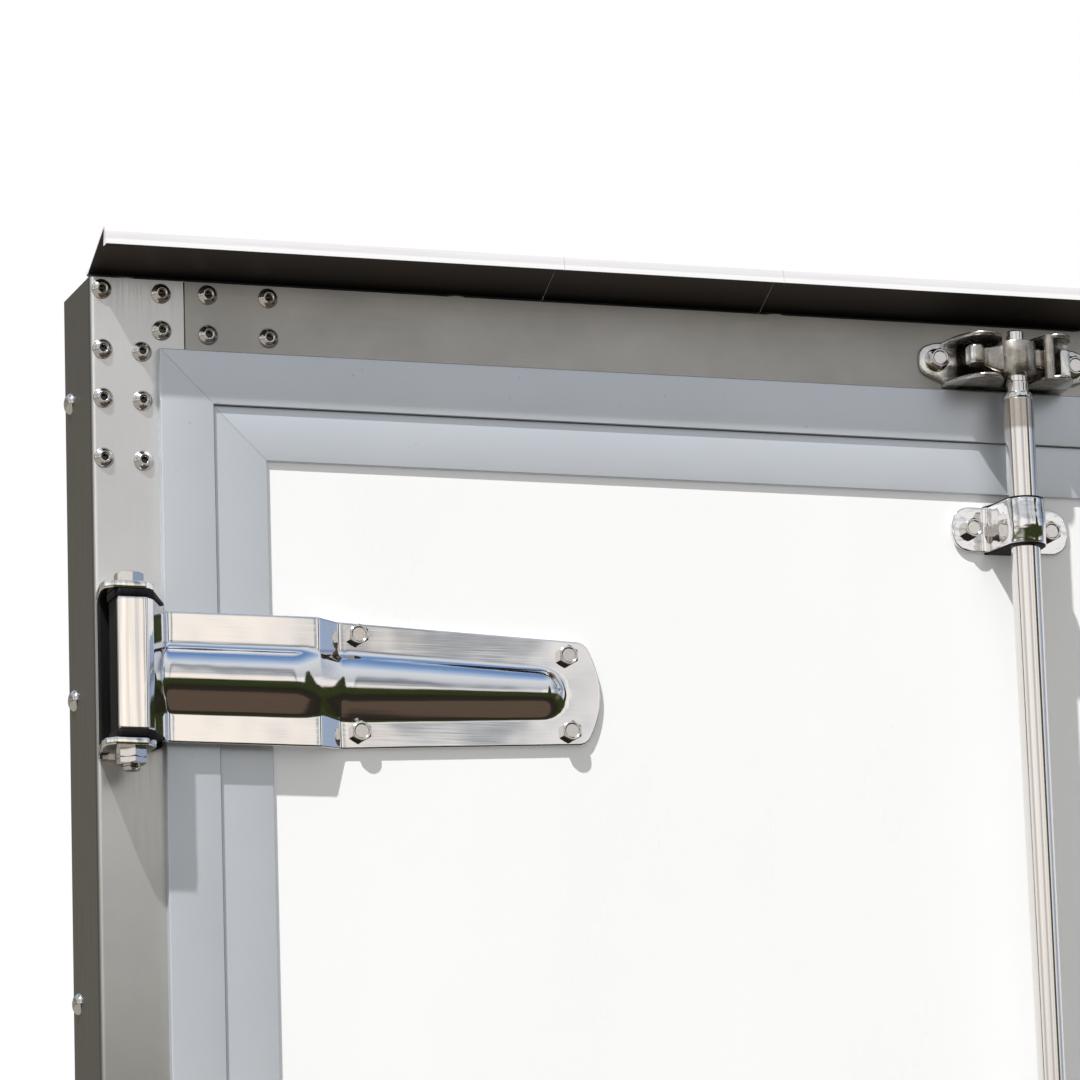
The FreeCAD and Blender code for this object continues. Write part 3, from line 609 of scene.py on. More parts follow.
# Dark steel: painted shade for the rivets' stems deep in their holes, and the dark strip in the corner seams
painted_stem_shade_and_seam_steel = turned_steel("rivet_stem_steel_snapped", "#4A4642")
band_aluminium = satin_aluminium("band_aluminium_satin_lacquer", "#D0D5DA", "#DADEE3")
panel_white = gel_coat("panel_glass_fibre_gel_coat", "#FAFAF9", "#FCFCFB")
bush_black = moulded_polymer("bush_polymer_moulded", "#070708", "#131315", 0.55)
seal_black = moulded_polymer("seal_rubber_extruded", "#131314", "#252527", 0.60)
filler_foam = cut_foam("filler_foam_sawn", "#D8D2BF", "#EAE5D6")


# Putting pieces in place

def piece(name, shape, material, body, replaced=(), crease=32.0):
    """Make one mesh in metres from a shape, with edges sharper than the crease angle left crisp,
    hang it on the body it rides on, and hide the CAD nodes it stands for."""
    points, faces = shape
    mesh = bpy.data.meshes.new(name)
    mesh.from_pydata((points / metre).tolist(), [], [row for rows in faces for row in rows.tolist()])
    mesh.polygons.foreach_set("use_smooth", np.ones(len(mesh.polygons), bool))
    mesh.set_sharp_from_angle(angle=math.radians(crease))
    mesh.materials.append(material)
    mesh.update()
    made = bpy.data.objects.new(name, mesh)
    bpy.context.scene.collection.objects.link(made)
    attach(made, body)
    if replaced:
        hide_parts(*replaced)


def pair(name, shape, material, body, replaced=(), crease=32.0):
    """A left-hand piece and its mirror image on the right-hand body."""
    for hand, made in (("left", shape), ("right", mirrored(shape))):
        on = body if body == "frame" else body + "_" + hand
        piece(name + "_" + hand, made, material, on, [n + "_" + hand for n in replaced], crease)


# Hinge straps, one pressed sheet each, measured from the side and the rear face of the post
strap_sheet = 3.5
strap_flat_y = -15.0
strap_plate_y = panel_front - strap_sheet
strap_edge = 0.9
strap_drop = 2.8
strap_drops_over = 30.0, 46.0
strap_joggle = 153.0, 170.0
strap_end = 351.5
strap_bow = 8.5
strap_bow_from = 300.0
strap_corner = 10.0
strap_corner_turn = 62.0
sheet_step = 2.4
strap_halves = 45.0, 44.2, 36.0
barrel_plan = [(5.3, -45.0), (24.5, -45.0), (30.5, -39.0), (45.1, strap_flat_y)]
strap_bends = 4.2, 4.6, 6.0, 5.2, 5.0
rib_drop = 3.2
rib_far = 333.0
rib_halves = ((40.0, 25.6), (142.0, 25.4), (156.0, 23.6), (176.0, 25.6), (318.0, 19.0), (334.0, 18.0))
rib_upper_slopes = (0, 0.78, 1), (0, 39.5, 0)
rib_lower_slopes = (0, 0.5, 0.9, 1), (0, 33, 27, 0)
rib_crown = -0.35, 0.35
rib_stand = 9.2
rib_sink = 1.4
rib_fall = 134.0, 178.0
rib_nose_far = 18.0
rib_fillet = 2.4
rib_fillet_full = 3.0

# Bolts through the straps, heads 13 mm across the flats, measured from the side and the top
strap_bolt_places = [(183.3, -244.7), (183.6, -311.9), (334.3, -254.0), (335.1, -306.9)]
bolt_flats = 13.0
bolt_head = 5.6


def strap_line():
    """The strap's outer line in plan: over the barrel, down its slope, along the flat, down the
    joggle and along the plate to where its corners start."""
    corners = [*barrel_plan, (strap_joggle[0], strap_flat_y), (strap_joggle[1], strap_plate_y),
               (strap_end - strap_corner, strap_plate_y)]
    return bent(corners, strap_bends, sheet_step)


def rib_section(slopes, off):
    """Height of half the rib's section at a share of its width off its middle line, 1 at the
    middle: the sum, from the foot inward, of the tangent of its slope, which goes evenly from
    one listed place to the next."""
    even = np.linspace(0, 1, 201)
    fall = np.tan(np.radians(np.interp(even, *slopes)))
    height = np.concatenate([np.cumsum((fall[1:] + fall[:-1])[::-1])[::-1], [0.0]])
    return np.interp(np.clip(np.abs(off), 0, 1), even, height / height[0])


def rib_height(off):
    """Height of the rib's whole section at a share of its half width above the middle line. The
    upper half ends in a short fillet, the lower in a longer slope, and the two blend where the
    crown is flat."""
    blend = smooth_step(off, *rib_crown)
    return rib_section(rib_upper_slopes, off) * blend + rib_section(rib_lower_slopes, off) * (1 - blend)


def strap():
    """One strap about its hinge's height. Its grid follows the line in plan and runs across it
    from edge to edge. The rib stands straight out by its arch times its height there, and its
    crown falls in one smooth step where the sheet goes down the joggle. Its far nose is the same
    arch over an ellipse, and near the barrel it runs into the slope: it lifts the sheet by half
    the sum of how far it stands past the slope and the hypotenuse of that and a fillet."""
    line = strap_line()
    turn = np.radians(np.linspace(0, strap_corner_turn, 9)[1:])
    reach = strap_corner - strap_edge
    corner = np.stack([line[-1, 0] + reach * np.sin(turn), line[-1, 1] + 0 * turn], -1)
    x, y = np.hsplit(np.concatenate([line, corner]), 2)
    into = np.clip(x - line[-1, 0], 0, reach)
    half = np.interp(x, (*strap_joggle, strap_end), strap_halves) - strap_edge
    half = half - (reach - np.sqrt(reach ** 2 - into ** 2))
    across = np.linspace(-1, 1, 95)[None]
    z = across * half - strap_drop * smooth_step(x, *strap_drops_over)
    late = np.clip(x - strap_bow_from, 0, None) / (strap_end - strap_bow_from)
    x_all = x + strap_bow * (1 - across ** 2) * late ** 2
    off = (z + rib_drop) / np.interp(x_all, *zip(*rib_halves))
    nose = np.clip((x_all - rib_far + rib_nose_far) / rib_nose_far, 0, None)
    share = np.hypot(nose, off)
    fall = strap_plate_y - strap_flat_y + rib_sink
    crown = strap_flat_y - rib_stand + fall * smooth_step(x_all, *rib_fall)
    blend = smooth_step(off, *rib_crown)
    arch = blend * rib_height(share) + (1 - blend) * rib_height(-share)
    slope = np.clip(strap_flat_y - y, 0, None)
    past = (np.maximum(y, strap_flat_y) - crown) * arch - slope
    lift = (past + np.hypot(past, rib_fillet * np.clip(slope / rib_fillet_full, 0, 1))) / 2
    return moved(pressed(np.stack([x_all, y - lift, z], -1), strap_sheet, strap_edge), side, 0, 0)


def strap_bolts():
    """Hexagon heads on a strap's plate at four places."""
    from_top = top - hinge_heights[-1]
    spots = [(side + x, strap_plate_y, z + from_top) for x, z in strap_bolt_places]
    return copies(facing(hex_bolt(bolt_flats, bolt_head), "rear"), spots)


pair("strap", copies(strap(), at_hinges), mirror_steel, "door", ["hinge_straps"], 28.0)
pair("strap_bolts", copies(strap_bolts(), at_hinges), bolt_steel, "door")


# Hinge brackets, bolts, pads and bushes
lug_left, lug_right = 20.2, 15.8
lug_depth = 15.0
lug_chamfer_left, lug_chamfer_right = 5.6, 8.0
lug_bends = 0.5, 3.0, 3.0, 3.0, 3.0, 3.0, 0.5
lug_edge = 0.7
lug_sunk = 0.2
lug_sheet = 5.0
lug_gap = 0.3
rim_height = 5.5
bracket_inset = 1.0
bracket_sheet = 2.5
bracket_corner, bracket_edge = 1.5, 0.5
tab_length = 3.0
pad_front = 8.5
pad_width = 43.0
pad_corner, pad_edge = 2.0, 1.0
hinge_bolt_radius = 6.0
hinge_bolt_flats = 18.0
hinge_head, hinge_nut, hinge_lock_nut, hinge_bolt_end = 8.0, 7.0, 4.0, 4.0
hinge_crown = 0.8
thread_depth = 0.35
thread_step = 0.9
bush_left, bush_right, bush_back = 4.4, 13.5, 12.0
bush_corner = 4.0
bush_rim_out = 1.4
bush_clearance = 0.1
bush_core_plan = [(bush_left, -41.6), (23.5, -41.6), (28.0, -37.5)]
bush_rim_plan = [(bush_left - bush_rim_out, -42.5), (bush_left + 1.6, -45.0), (24.8, -45.0), (31.4, -38.8),
                 (44.0, -17.0), (38.0, -13.0)]
bush_wing = 33.0, 43.0
bush_wing_thinning = 0.6
bush_core_bend, bush_core_edge = 1.0, 0.2
bush_rim_bend, bush_rim_edge = 1.2, 0.9
lug_low = barrel_half + rim_height + lug_gap
lug_high = lug_low + lug_sheet


def brackets():
    """Two lugs, square at the post and chamfered at both front corners, and the plate that joins
    them on the post, with a short tab below."""
    start = side + bracket_inset
    front = axis_y - lug_depth
    left, right = axis_x - lug_left, axis_x + lug_right
    corners = [(start, -lug_sunk), (left, axis_y), (left, front + lug_chamfer_left),
               (left + lug_chamfer_left, front), (right - lug_chamfer_right, front),
               (right, front + lug_chamfer_right), (right, -lug_sunk)]
    lug = slab(rounded(corners, lug_bends), lug_low, lug_high, lug_edge)
    plate = oblong(start, right, -lug_high - tab_length, lug_high, bracket_corner)
    return joined(lug, upended(lug), slab(plate, -bracket_sheet, 0.0, bracket_edge, "xzy"))


def pad():
    """Moulded pad between the lugs, in front of the plate."""
    left = side + bracket_inset
    outline = oblong(left, left + pad_width, -lug_low + lug_gap, lug_low - lug_gap, pad_corner)
    return slab(outline, -pad_front, -bracket_sheet, pad_edge, "xzy")


def hinge_bolt():
    """Through bolt with its head, nut, lock nut and the threaded end below them."""
    root = hinge_bolt_radius - thread_depth
    end = -lug_high - hinge_nut - hinge_lock_nut - hinge_bolt_end
    turns = np.arange(end + 1.2, -lug_high - 1, thread_step)
    shank = [(root - 1, end), (root, end + 1)]
    shank += [(root + thread_depth * (i % 2), z) for i, z in enumerate(turns)]
    shank += [(hinge_bolt_radius, -lug_high), (hinge_bolt_radius, lug_high + 1)]
    head, nut, lock = (hex_bolt(hinge_bolt_flats, height, hinge_crown)
                       for height in (hinge_head, hinge_nut, hinge_lock_nut))
    whole = joined(turned(shank), moved(head, 0, 0, lug_high), moved(upended(nut), 0, 0, -lug_high),
                   moved(upended(lock), 0, 0, -lug_high - hinge_nut))
    return moved(whole, axis_x, axis_y, 0)


def bush():
    """Moulded bush: a core behind the strap's barrel with a rim over each end, both bored for
    the bolt. The rim has a wing that thins as it runs back along the strap's slope."""
    left, right, back = side + bush_left, axis_x + bush_right, axis_y + bush_back
    bore, axis = hinge_bolt_radius + bush_clearance, (axis_x, axis_y)
    core = [*((side + x, y) for x, y in bush_core_plan), (right, axis_y + bush_corner),
            (right - bush_corner, back), (left + bush_corner, back), (left, back - bush_corner)]
    rim = [*((side + x, y) for x, y in bush_rim_plan), (right, back), (left + bush_corner, back + 1),
           (left - bush_rim_out, back - bush_corner)]
    whole = collar(rounded(core, bush_core_bend), bore, -barrel_half, barrel_half, bush_core_edge, axis)
    high = barrel_half + rim_height
    lip = collar(rounded(rim, bush_rim_bend), bore, barrel_half, high, bush_rim_edge, axis)
    thinner = 1 - bush_wing_thinning * smooth_step(lip[0][:, 0] - side, *bush_wing)
    lip[0][:, 2] = barrel_half + (lip[0][:, 2] - barrel_half) * thinner
    return joined(whole, lip, upended(lip))


pair("hinge_bracket", copies(brackets(), at_hinges), mirror_steel, "frame",
     ["hinge_brackets"])
pair("hinge_pad", copies(pad(), at_hinges), bush_black, "frame", ["hinge_pads"])
pair("hinge_bolt", copies(hinge_bolt(), at_hinges), bolt_steel, "frame", ["hinge_bolts"], 25.0)
pair("hinge_bush", copies(bush(), at_hinges), bush_black, "door", ["hinge_bushes"])


# Lock rods, turned ends on a drawn tube: radii with how far down from the top they lie
rod_radius = 11.0
shank_radius = 7.65
stub_radius = 6.25
rod_profile = [(stub_radius - 1.0, 10.8), (stub_radius, 11.8), (stub_radius, 19.9), (shank_radius, 20.1),
               (shank_radius, 48.2), (shank_radius - 0.9, 48.5), (shank_radius - 0.9, 49.3), (7.9, 49.6),
               (8.0, 55.8), (9.0, 56.3), (10.2, 57.1), (10.7, 58.5), (10.6, 59.9), (10.1, 60.9),
               (10.3, 61.3), (rod_radius, 61.8)]
bead_drop = 58.6
bead_half = 2.4

# Cam about the rod's axis: its boss, its arm to the left and its lobe to the right in plan
cam_boss = 14.25
cam_bore = shank_radius + 0.02
cam_boss_edge, cam_arm_edge, cam_lobe_edge = 1.1, 1.6, 1.2
cam_boss_drops = 42.9, 19.7
cam_drops = 37.8, 24.5
cam_middle_drop = 31.15
cam_arm_plan = [(-4.0, -8.0), (-15.0, -6.4), (-22.0, -4.4), (-27.0, -5.6), (-29.6, -11.0), (-32.0, -13.4),
                (-37.0, -12.8), (-39.8, -9.4), (-39.8, -2.2), (-37.0, 2.6), (-26.0, 4.6), (-14.0, 7.0),
                (-4.0, 8.0)]
cam_arm_bends = 0.5, 12, 6, 4, 4, 2.4, 3.0, 4, 4, 3, 20, 20, 0.5
cam_arm_root = -28.0, -14.0
cam_arm_sag = 1.6
cam_arm_swell = 0.5
cam_lobe_plan = [(4.0, -6.0), (17.0, -5.6), (23.8, -4.0), (23.8, 2.0), (16.0, 4.4), (4.0, 6.0)]
cam_lobe_bends = 0.5, 6, 2.4, 2.4, 6, 0.5


def rod():
    """The rod on the Z axis. From an end inward: stub, shank, a groove, the collar of the plug
    and the bead of weld on the tube. The bead's radius swells by two waves round the axis, so it
    is lumpy like a bead laid by hand. The skin starts at the lower weld, goes down to the lower
    end and from there to the upper weld, so the tube narrows evenly on its way down."""
    upper = np.array([(radius, top - drop) for radius, drop in rod_profile[::-1]])
    lower = upper * (1, -1) + (0, 2 * leaf_middle)
    radius, height = np.concatenate([lower, upper]).T[:, :, None]
    sides = 48
    turn = np.linspace(0, 2 * np.pi, sides, endpoint=False)
    drop = np.minimum(top - height, height - (2 * leaf_middle - top))
    bead = np.clip(1 - np.abs(drop - bead_drop) / bead_half, 0, 1)
    radius = radius - bead * (0.35 + 0.3 * np.sin(5 * turn) + 0.2 * np.sin(11 * turn + 1))
    height = height + bead * 0.5 * np.sin(7 * turn + 2)
    return moved(swept_round(radius, height, sides), rod_x, rod_y, 0)


def cams():
    """Cam at both ends: a boss round the rod, an arm to the left that hollows and ends in a nose
    toward the viewer, and a short lobe to the right. Cast in one, so its edges are full."""
    boss_low, boss_high = (top - drop for drop in cam_boss_drops)
    low, high = (top - drop for drop in cam_drops)
    middle = top - cam_middle_drop
    boss = collar(circle(cam_boss), cam_bore, boss_low, boss_high, cam_boss_edge)
    arm = slab(rounded(cam_arm_plan, cam_arm_bends), low, high, cam_arm_edge)
    near = smooth_step(arm[0][:, 0], *cam_arm_root)
    arm[0][:, 2] = middle - cam_arm_sag * near + (arm[0][:, 2] - middle) * (1 + cam_arm_swell * near)
    lobe = slab(rounded(cam_lobe_plan, cam_lobe_bends), low, high, cam_lobe_edge)
    upper = moved(joined(boss, arm, lobe), rod_x, rod_y, 0)
    return joined(upper, upended(upper, leaf_middle))


pair("lock_rod", rod(), tube_steel, "rod", ["lock_rod"], 40.0)
pair("rod_cam", cams(), cast_steel, "rod", ["rod_cams"])


# Keepers on header and sill, measured from the rod's middle line
keeper_sheet = 3.0
keeper_low, keeper_high = top - 47.5, top - 13.5
keeper_bolt_z = top - 27.7
keeper_bolts_x = -50.2, 55.25
keeper_bolt_head = 7.4
keeper_washer = [(8.3, 0), (8.5, 0.3), (8.5, 1.0), (8.0, 1.3)]
keeper_washer_top = 1.2
keeper_ear = 12.8
keeper_ear_half = 9.0
keeper_pin_x, keeper_pin_y = 22.3, -38.5
keeper_pin_radius = 3.7
keeper_flange = 3.4
keeper_fillet = 4.0
keeper_overlap = 0.6
keeper_wings = ((-24.5, 21.0, 42.0), (30.0, 17.5, 45.0))
keeper_wing_edge, keeper_plate_edge = 1.5, 1.1
keeper_bends = 9.0, 9.0, 3.0, 3.0, 3.0, 3.0, 9.0, 9.0, 9.0, 9.0, 3.0, 3.0, 9.0, 9.0
stop_left, stop_right, stop_front, stop_drop = 36.0, 43.8, -27.0, 7.5
stop_bends = 1.5, 1.5, 3.5, 1.5
stop_edge = 0.8


def keeper_wing(middle, half, reach, low):
    """One flange of a keeper: a half oval of a half width and reach, with a rolled rim."""
    turn = np.linspace(0, np.pi, 41)
    outline = np.stack([rod_x + middle + half * np.cos(turn), -1.0 - (reach - 1.0) * np.sin(turn)], -1)
    return slab(outline, low, low + keeper_flange, keeper_wing_edge)


def keeper_root(middle, half, z, way):
    """The fillet along a flange's root, which runs into the plate and the flange: in section a
    hollow quarter circle, closed by a corner inside the metal."""
    turn = np.linspace(0, np.pi / 2, 6)
    y, sunk = -keeper_sheet, keeper_overlap
    out, up = keeper_fillet * (1 - np.sin(turn)), keeper_fillet * (1 - np.cos(turn))
    hollow = np.stack([y - out, z + way * up], -1)
    corners = [(y + sunk, z + way * keeper_fillet), (y + sunk, z - way * sunk),
               (y - keeper_fillet, z - way * sunk)]
    x = rod_x + middle
    return slab(np.concatenate([hollow, corners]), x - half + sunk, x + half - sunk, 0.01, "yzx")


def keeper_outline():
    """The plate and its two ears as one outline: each ear is a circle round its bolt, and a
    curved neck leads from it to the plate's upper and lower edge."""
    left, right = keeper_bolts_x
    below, above = keeper_bolt_z - keeper_ear_half, keeper_bolt_z + keeper_ear_half
    foot, head = keeper_bolt_z - keeper_ear, keeper_bolt_z + keeper_ear
    corners = [(left - keeper_ear, below), (left - 3.0, foot), (left + 4.6, keeper_low + 4.0),
               (left + 9.0, keeper_low), (right - 12.0, keeper_low), (right - 8.0, keeper_low + 4.6),
               (right + 3.0, foot), (right + keeper_ear, below), (right + keeper_ear, above),
               (right + 2.0, head), (right - 8.0, keeper_high), (left + 8.0, keeper_high),
               (left - 2.0, head), (left - keeper_ear, above)]
    return rounded(corners, keeper_bends) + (rod_x, 0)


def keeper():
    """Top keeper: a plate with round ears, two pairs of half-oval flanges, the upright pin that
    the cam pulls against, and the stop block at its right. A fillet runs along the root of
    each flange."""
    upper = keeper_high - keeper_flange
    parts = [keeper_wing(*wing, low) for low in (keeper_low, upper) for wing in keeper_wings]
    for z, way in ((keeper_low + keeper_flange, 1), (upper, -1)):
        parts += [keeper_root(middle, half, z, way) for middle, half, _ in keeper_wings]
    parts.append(slab(keeper_outline(), -keeper_sheet, 0, keeper_plate_edge, "xzy"))
    pin = turned([(keeper_pin_radius, keeper_low + 1), (keeper_pin_radius, keeper_high - 1)], 28)
    parts.append(moved(pin, rod_x + keeper_pin_x, keeper_pin_y, 0))
    block = oblong(rod_x + stop_left, rod_x + stop_right, keeper_low + 0.5, keeper_high - stop_drop,
                   stop_bends)
    parts.append(slab(block, stop_front, -1.0, stop_edge, "xzy"))
    return joined(*parts)


def keeper_bolts():
    """Hexagon heads on washers in the keeper's ears."""
    head = moved(hex_bolt(bolt_flats, keeper_bolt_head), 0, 0, keeper_washer_top)
    whole = facing(joined(turned(keeper_washer, 36), head), "rear")
    return copies(whole, [(rod_x + x, -keeper_sheet, keeper_bolt_z) for x in keeper_bolts_x])


top_keepers, top_bolts = both_sides(keeper()), both_sides(keeper_bolts())
low_keepers, low_bolts = upended(top_keepers, leaf_middle), upended(top_bolts, leaf_middle)
piece("keepers_top_pressed", top_keepers, cast_steel, "frame", ["keepers_top"])
piece("keepers_bottom_pressed", low_keepers, cast_steel, "frame", ["keepers_bottom"])
piece("keeper_bolts_top", top_bolts, bolt_steel, "frame")
piece("keeper_bolts_bottom", low_bolts, bolt_steel, "frame")


# Rod guides, measured from the rod's middle line
guide_sheet = 3.2
guide_half = 16.3
guide_edge = 0.8
guide_ear_end = 44.0
guide_corner_from = 30.79
guide_corner = 13.2
guide_corner_depth = 0.97
guide_bolt_half = 30.0
guide_bolt_head = 6.6
guide_cap = 15.0
guide_bends = 5.0, 14.0
guide_cheek = [(-17.6, panel_front - guide_sheet), (-16.2, rod_y + 8.0)]
guide_bulge = 0.75
guide_bulge_over = 20.0, 40.0
guide_bush_foot = [(16.0, -14.0), (19.5, panel_front - 0.1), (-19.5, panel_front - 0.1), (-16.0, -14.0)]
guide_bush_out = 1.2
guide_bush_wall = 2.9
guide_bush_bore = rod_radius + 0.15
guide_bush_play = 0.4
guide_bush_lip = 1.5
guide_lows, guide_highs = node_box("rod_guides_left")
guide_low_z, guide_high_z = guide_lows[2] + guide_half, guide_highs[2] - guide_half
guide_places = [(rod_x, 0, z) for z in (guide_high_z, handle_z + 150.0, handle_z - 150.0, guide_low_z)]


def round_rod(radius, start, points):
    """An arc in plan about the rod, symmetrical and open toward the panel, from a start angle."""
    turn = np.radians(np.linspace(start, 540 - start, points))
    return np.stack([radius * np.cos(turn), rod_y + radius * np.sin(turn)], -1)


def guide():
    """One guide pressed from sheet: in plan an ear, a cheek that leans in, a round cap over the
    rod, and the same again on the other side. Across, it is as high as its half height, drawn in
    over each ear along a circle, and it swells over the cap by one wave of a cosine."""
    cap = round_rod(guide_cap, 198, 23)
    flat = panel_front - guide_sheet
    left = bent([(-guide_ear_end, flat), *guide_cheek, cap[0]], guide_bends, sheet_step)
    x, y = np.hsplit(np.concatenate([left[:-1], cap, (left * (-1, 1))[::-1][1:]]), 2)
    into = np.clip(np.abs(x) - guide_corner_from, 0, guide_corner)
    drawn_in = (guide_corner - np.sqrt(guide_corner ** 2 - into ** 2)) * guide_corner_depth
    across = np.linspace(-1, 1, 33)[None]
    z = across * (guide_half - guide_edge - drawn_in)
    bulge = guide_bulge * (1 + np.cos(np.pi * (across + 0.05))) * smooth_step(-y, *guide_bulge_over)
    return pressed(np.stack([x + 0 * z, y - bulge, z], -1), guide_sheet, guide_edge)


def guide_bush():
    """Moulded bush under a guide: its outline in plan is the guide's inner line, closed along the
    panel, bored for the rod, and it stands out of the guide at both ends."""
    outline = np.concatenate([round_rod(guide_cap - guide_bush_play, 196, 25), guide_bush_foot])
    inner = outline + mitres(outline) * guide_bush_wall
    high = guide_half + guide_bush_out
    core_half = high - guide_bush_lip
    core = collar(inner, guide_bush_bore, -core_half, core_half, 0.1, (0, rod_y))
    lip = collar(outline, guide_bush_bore, guide_half + 0.02, high, 0.5, (0, rod_y))
    return joined(core, lip, upended(lip))


def guide_bolts():
    """Hexagon heads in the guide's ears."""
    head = facing(hex_bolt(bolt_flats, guide_bolt_head), "rear")
    return copies(head, [(way * guide_bolt_half, panel_front - guide_sheet, 0) for way in (-1, 1)])


pair("rod_guide", copies(guide(), guide_places), guide_steel, "door", ["rod_guides"], 28.0)
pair("guide_bush", copies(guide_bush(), guide_places), bush_black, "door", ["guide_bushes"])
pair("guide_bolts", copies(guide_bolts(), guide_places), bolt_steel, "door")


# Handles: hub on the rod, lever in the hub, catch on the panel
lever_half = 13.0
lever_thick_half = 4.5
lever_bends = 175.0, 215.0
lever_reach = 330.0
lever_out = 16.0
hub_radius = 17.0
hub_half = 23.0
hub_bore = rod_radius + 0.05
hub_edge = 1.6
hub_overlap = 4.0
hub_gap = 0.5
cheek_sheet = 5.0
cheek_half = 14.0
cheek_edge = 1.0
lever_bend, lever_step = 26.0, 12.0
lever_corner = 2.2
catch_x = pivot_x - 125.0
catch_sheet = 3.5
catch_drop = 3.0
catch_ramp = 1.9
catch_bend = 8.0
catch_corner = 4.0
catch_edges = 0.6, 0.8
catch_bolts_off = -29, 27


def hub():
    """Clamp round the rod with two cheeks that hold the lever on a domed pin."""
    clamp = collar(circle(hub_radius), hub_bore, handle_z - hub_half, handle_z + hub_half, hub_edge)
    turn = np.linspace(np.pi / 2, 3 * np.pi / 2, 25)
    nose = np.stack([pivot_x + cheek_half * np.cos(turn), handle_z + cheek_half * np.sin(turn)], -1)
    root = rod_x - hub_overlap
    outline = np.concatenate([nose, [(root, handle_z - cheek_half), (root, handle_z + cheek_half)]])
    inner = lever_thick_half + hub_gap
    outer = inner + cheek_sheet
    cheeks = [slab(outline, rod_y + low, rod_y + high, cheek_edge, "xzy")
              for low, high in ((-outer, -inner), (inner, outer))]
    dome = [(5.0, outer - 0.1), (5.6, outer), (4.6, outer + 1.3), (3.4, outer + 1.9)]
    pin = [(radius, -z) for radius, z in dome[::-1]] + dome
    return joined(moved(clamp, rod_x, rod_y, 0), *cheeks,
                  moved(facing(turned(pin, 28), "rear"), pivot_x, rod_y, handle_z))


def lever():
    """Flat bar from the pivot, bent outward to the grip: a rounded section carried along the
    bar's middle line, its half height drawn in to a half circle at each end."""
    grip_y = rod_y - lever_out
    first, second = (pivot_x - bend for bend in lever_bends)
    far = pivot_x - lever_reach
    line = bent([(pivot_x, rod_y), (first, rod_y), (second, grip_y), (far, grip_y)], lever_bend,
                lever_step)
    turn = np.linspace(0.12, np.pi / 2, 9)
    start = np.stack([pivot_x + lever_half * np.cos(turn), rod_y + 0 * turn], -1)
    end = np.stack([far - lever_half * np.cos(turn[::-1]), grip_y + 0 * turn], -1)
    line = np.concatenate([start[:-1], line, end[1:]])
    run = unit(np.gradient(line, axis=0))
    normal = np.stack([run[:, 1], -run[:, 0]], -1)
    over = np.maximum(line[:, 0] - pivot_x, far - line[:, 0]).clip(0, lever_half)
    half = np.sqrt(lever_half ** 2 - over ** 2)
    rings = []
    for middle, out, high in zip(line, normal, half):
        corner = min(lever_corner, high * 0.9)
        section = oblong(-lever_thick_half, lever_thick_half, -high, high, corner)
        flat = middle + out * section[:, :1]
        rings.append(np.stack([flat[:, 0], flat[:, 1], handle_z + section[:, 1]], -1))
    return lofted(np.stack(rings))


def catch():
    """Catch on the panel: foot plate with two bolts and a shelf under the lever with a low ramp."""
    low, high = node_box("handle_catch_left")
    foot = oblong(low[0], high[0], low[2], high[2], catch_corner)
    plate = slab(foot, panel_front - catch_sheet, panel_front, catch_edges[0], "xzy")
    shelf = handle_z - lever_half - catch_drop
    ramp_y = rod_y - lever_thick_half - catch_drop
    end = low[1] + catch_edges[1], shelf + catch_ramp
    upper = bent([(panel_front, shelf), (ramp_y, shelf), end], catch_bend, 6.0)
    run = unit(np.gradient(upper, axis=0))
    under = upper + np.stack([-run[:, 1], run[:, 0]], -1) * catch_sheet
    outline = np.concatenate([upper, under[::-1]])
    return joined(plate, slab(outline, low[0] + 0.3, high[0] - 0.3, catch_edges[1], "yzx"))


def catch_bolts():
    """Two hexagon heads on the catch's foot plate."""
    head = facing(hex_bolt(bolt_flats, bolt_head), "rear")
    return copies(head, [(catch_x, panel_front - catch_sheet, handle_z + off) for off in catch_bolts_off])


pair("handle_hub", hub(), cast_steel, "rod", ["handle_hub"])
pair("handle_lever", lever(), mirror_steel, "handle", ["handle_lever"])
pair("handle_catch", catch(), mirror_steel, "door", ["handle_catch"])
pair("catch_bolts", catch_bolts(), bolt_steel, "door")


# Rain gutter
gutter_sheet = 2.0
gutter_lift = 2.7
gutter_back = 32.0
gutter_reach = 43.0
gutter_rise = 25.2
gutter_lip = 14.6
gutter_flare = 3.0
gutter_foot = 2.5
gutter_crush = 5.0
gutter_bends = 0.5, 3.0, 1.0, 0.7, 0.7, 3.0, 3.0, 4.0, 0.5
gutter_end_base = 6.0
gutter_seams = (side, side + 328.0, side + 491.0, -side)
gutter_hairline = 0.25
gutter_slant = 16.0
gutter_strip = 0.8
gutter_strip_half = 9.0
gutter_washer = [(8.0, 0), (9.0, 0.5), (9.0, gutter_lift + 0.6)]
gutter_dome = [(6.5, 0), (6.3, 0.9), (5.0, 2.1), (3.0, 2.8), (1.0, 3.0)]
gutter_rivets_x = np.linspace(side + 28.0, -side - 28.0, 10)


def gutter_section(full):
    """The gutter's section: base, rising web and lip, its bends eased. Toward a cut end, where
    full falls to 0, the base runs out and the shears have folded the lip's foot under."""
    back = gutter_back - (gutter_back - gutter_foot - gutter_end_base) * (1 - full)
    base, tip, sheet = top + gutter_lift, top + gutter_rise, gutter_sheet
    foot, lip = tip - gutter_lip, -gutter_reach
    corners = [(back, base), (sheet * 0.6 + gutter_foot, base), (lip + sheet, tip - sheet),
               (lip - gutter_flare + sheet + gutter_crush * (1 - full), foot), (lip - gutter_flare, foot),
               (lip - 1.6, tip - 4.5), (lip + 1.2, tip), (-0.6 + gutter_foot, base + sheet),
               (back, base + sheet)]
    return rounded(corners, gutter_bends)


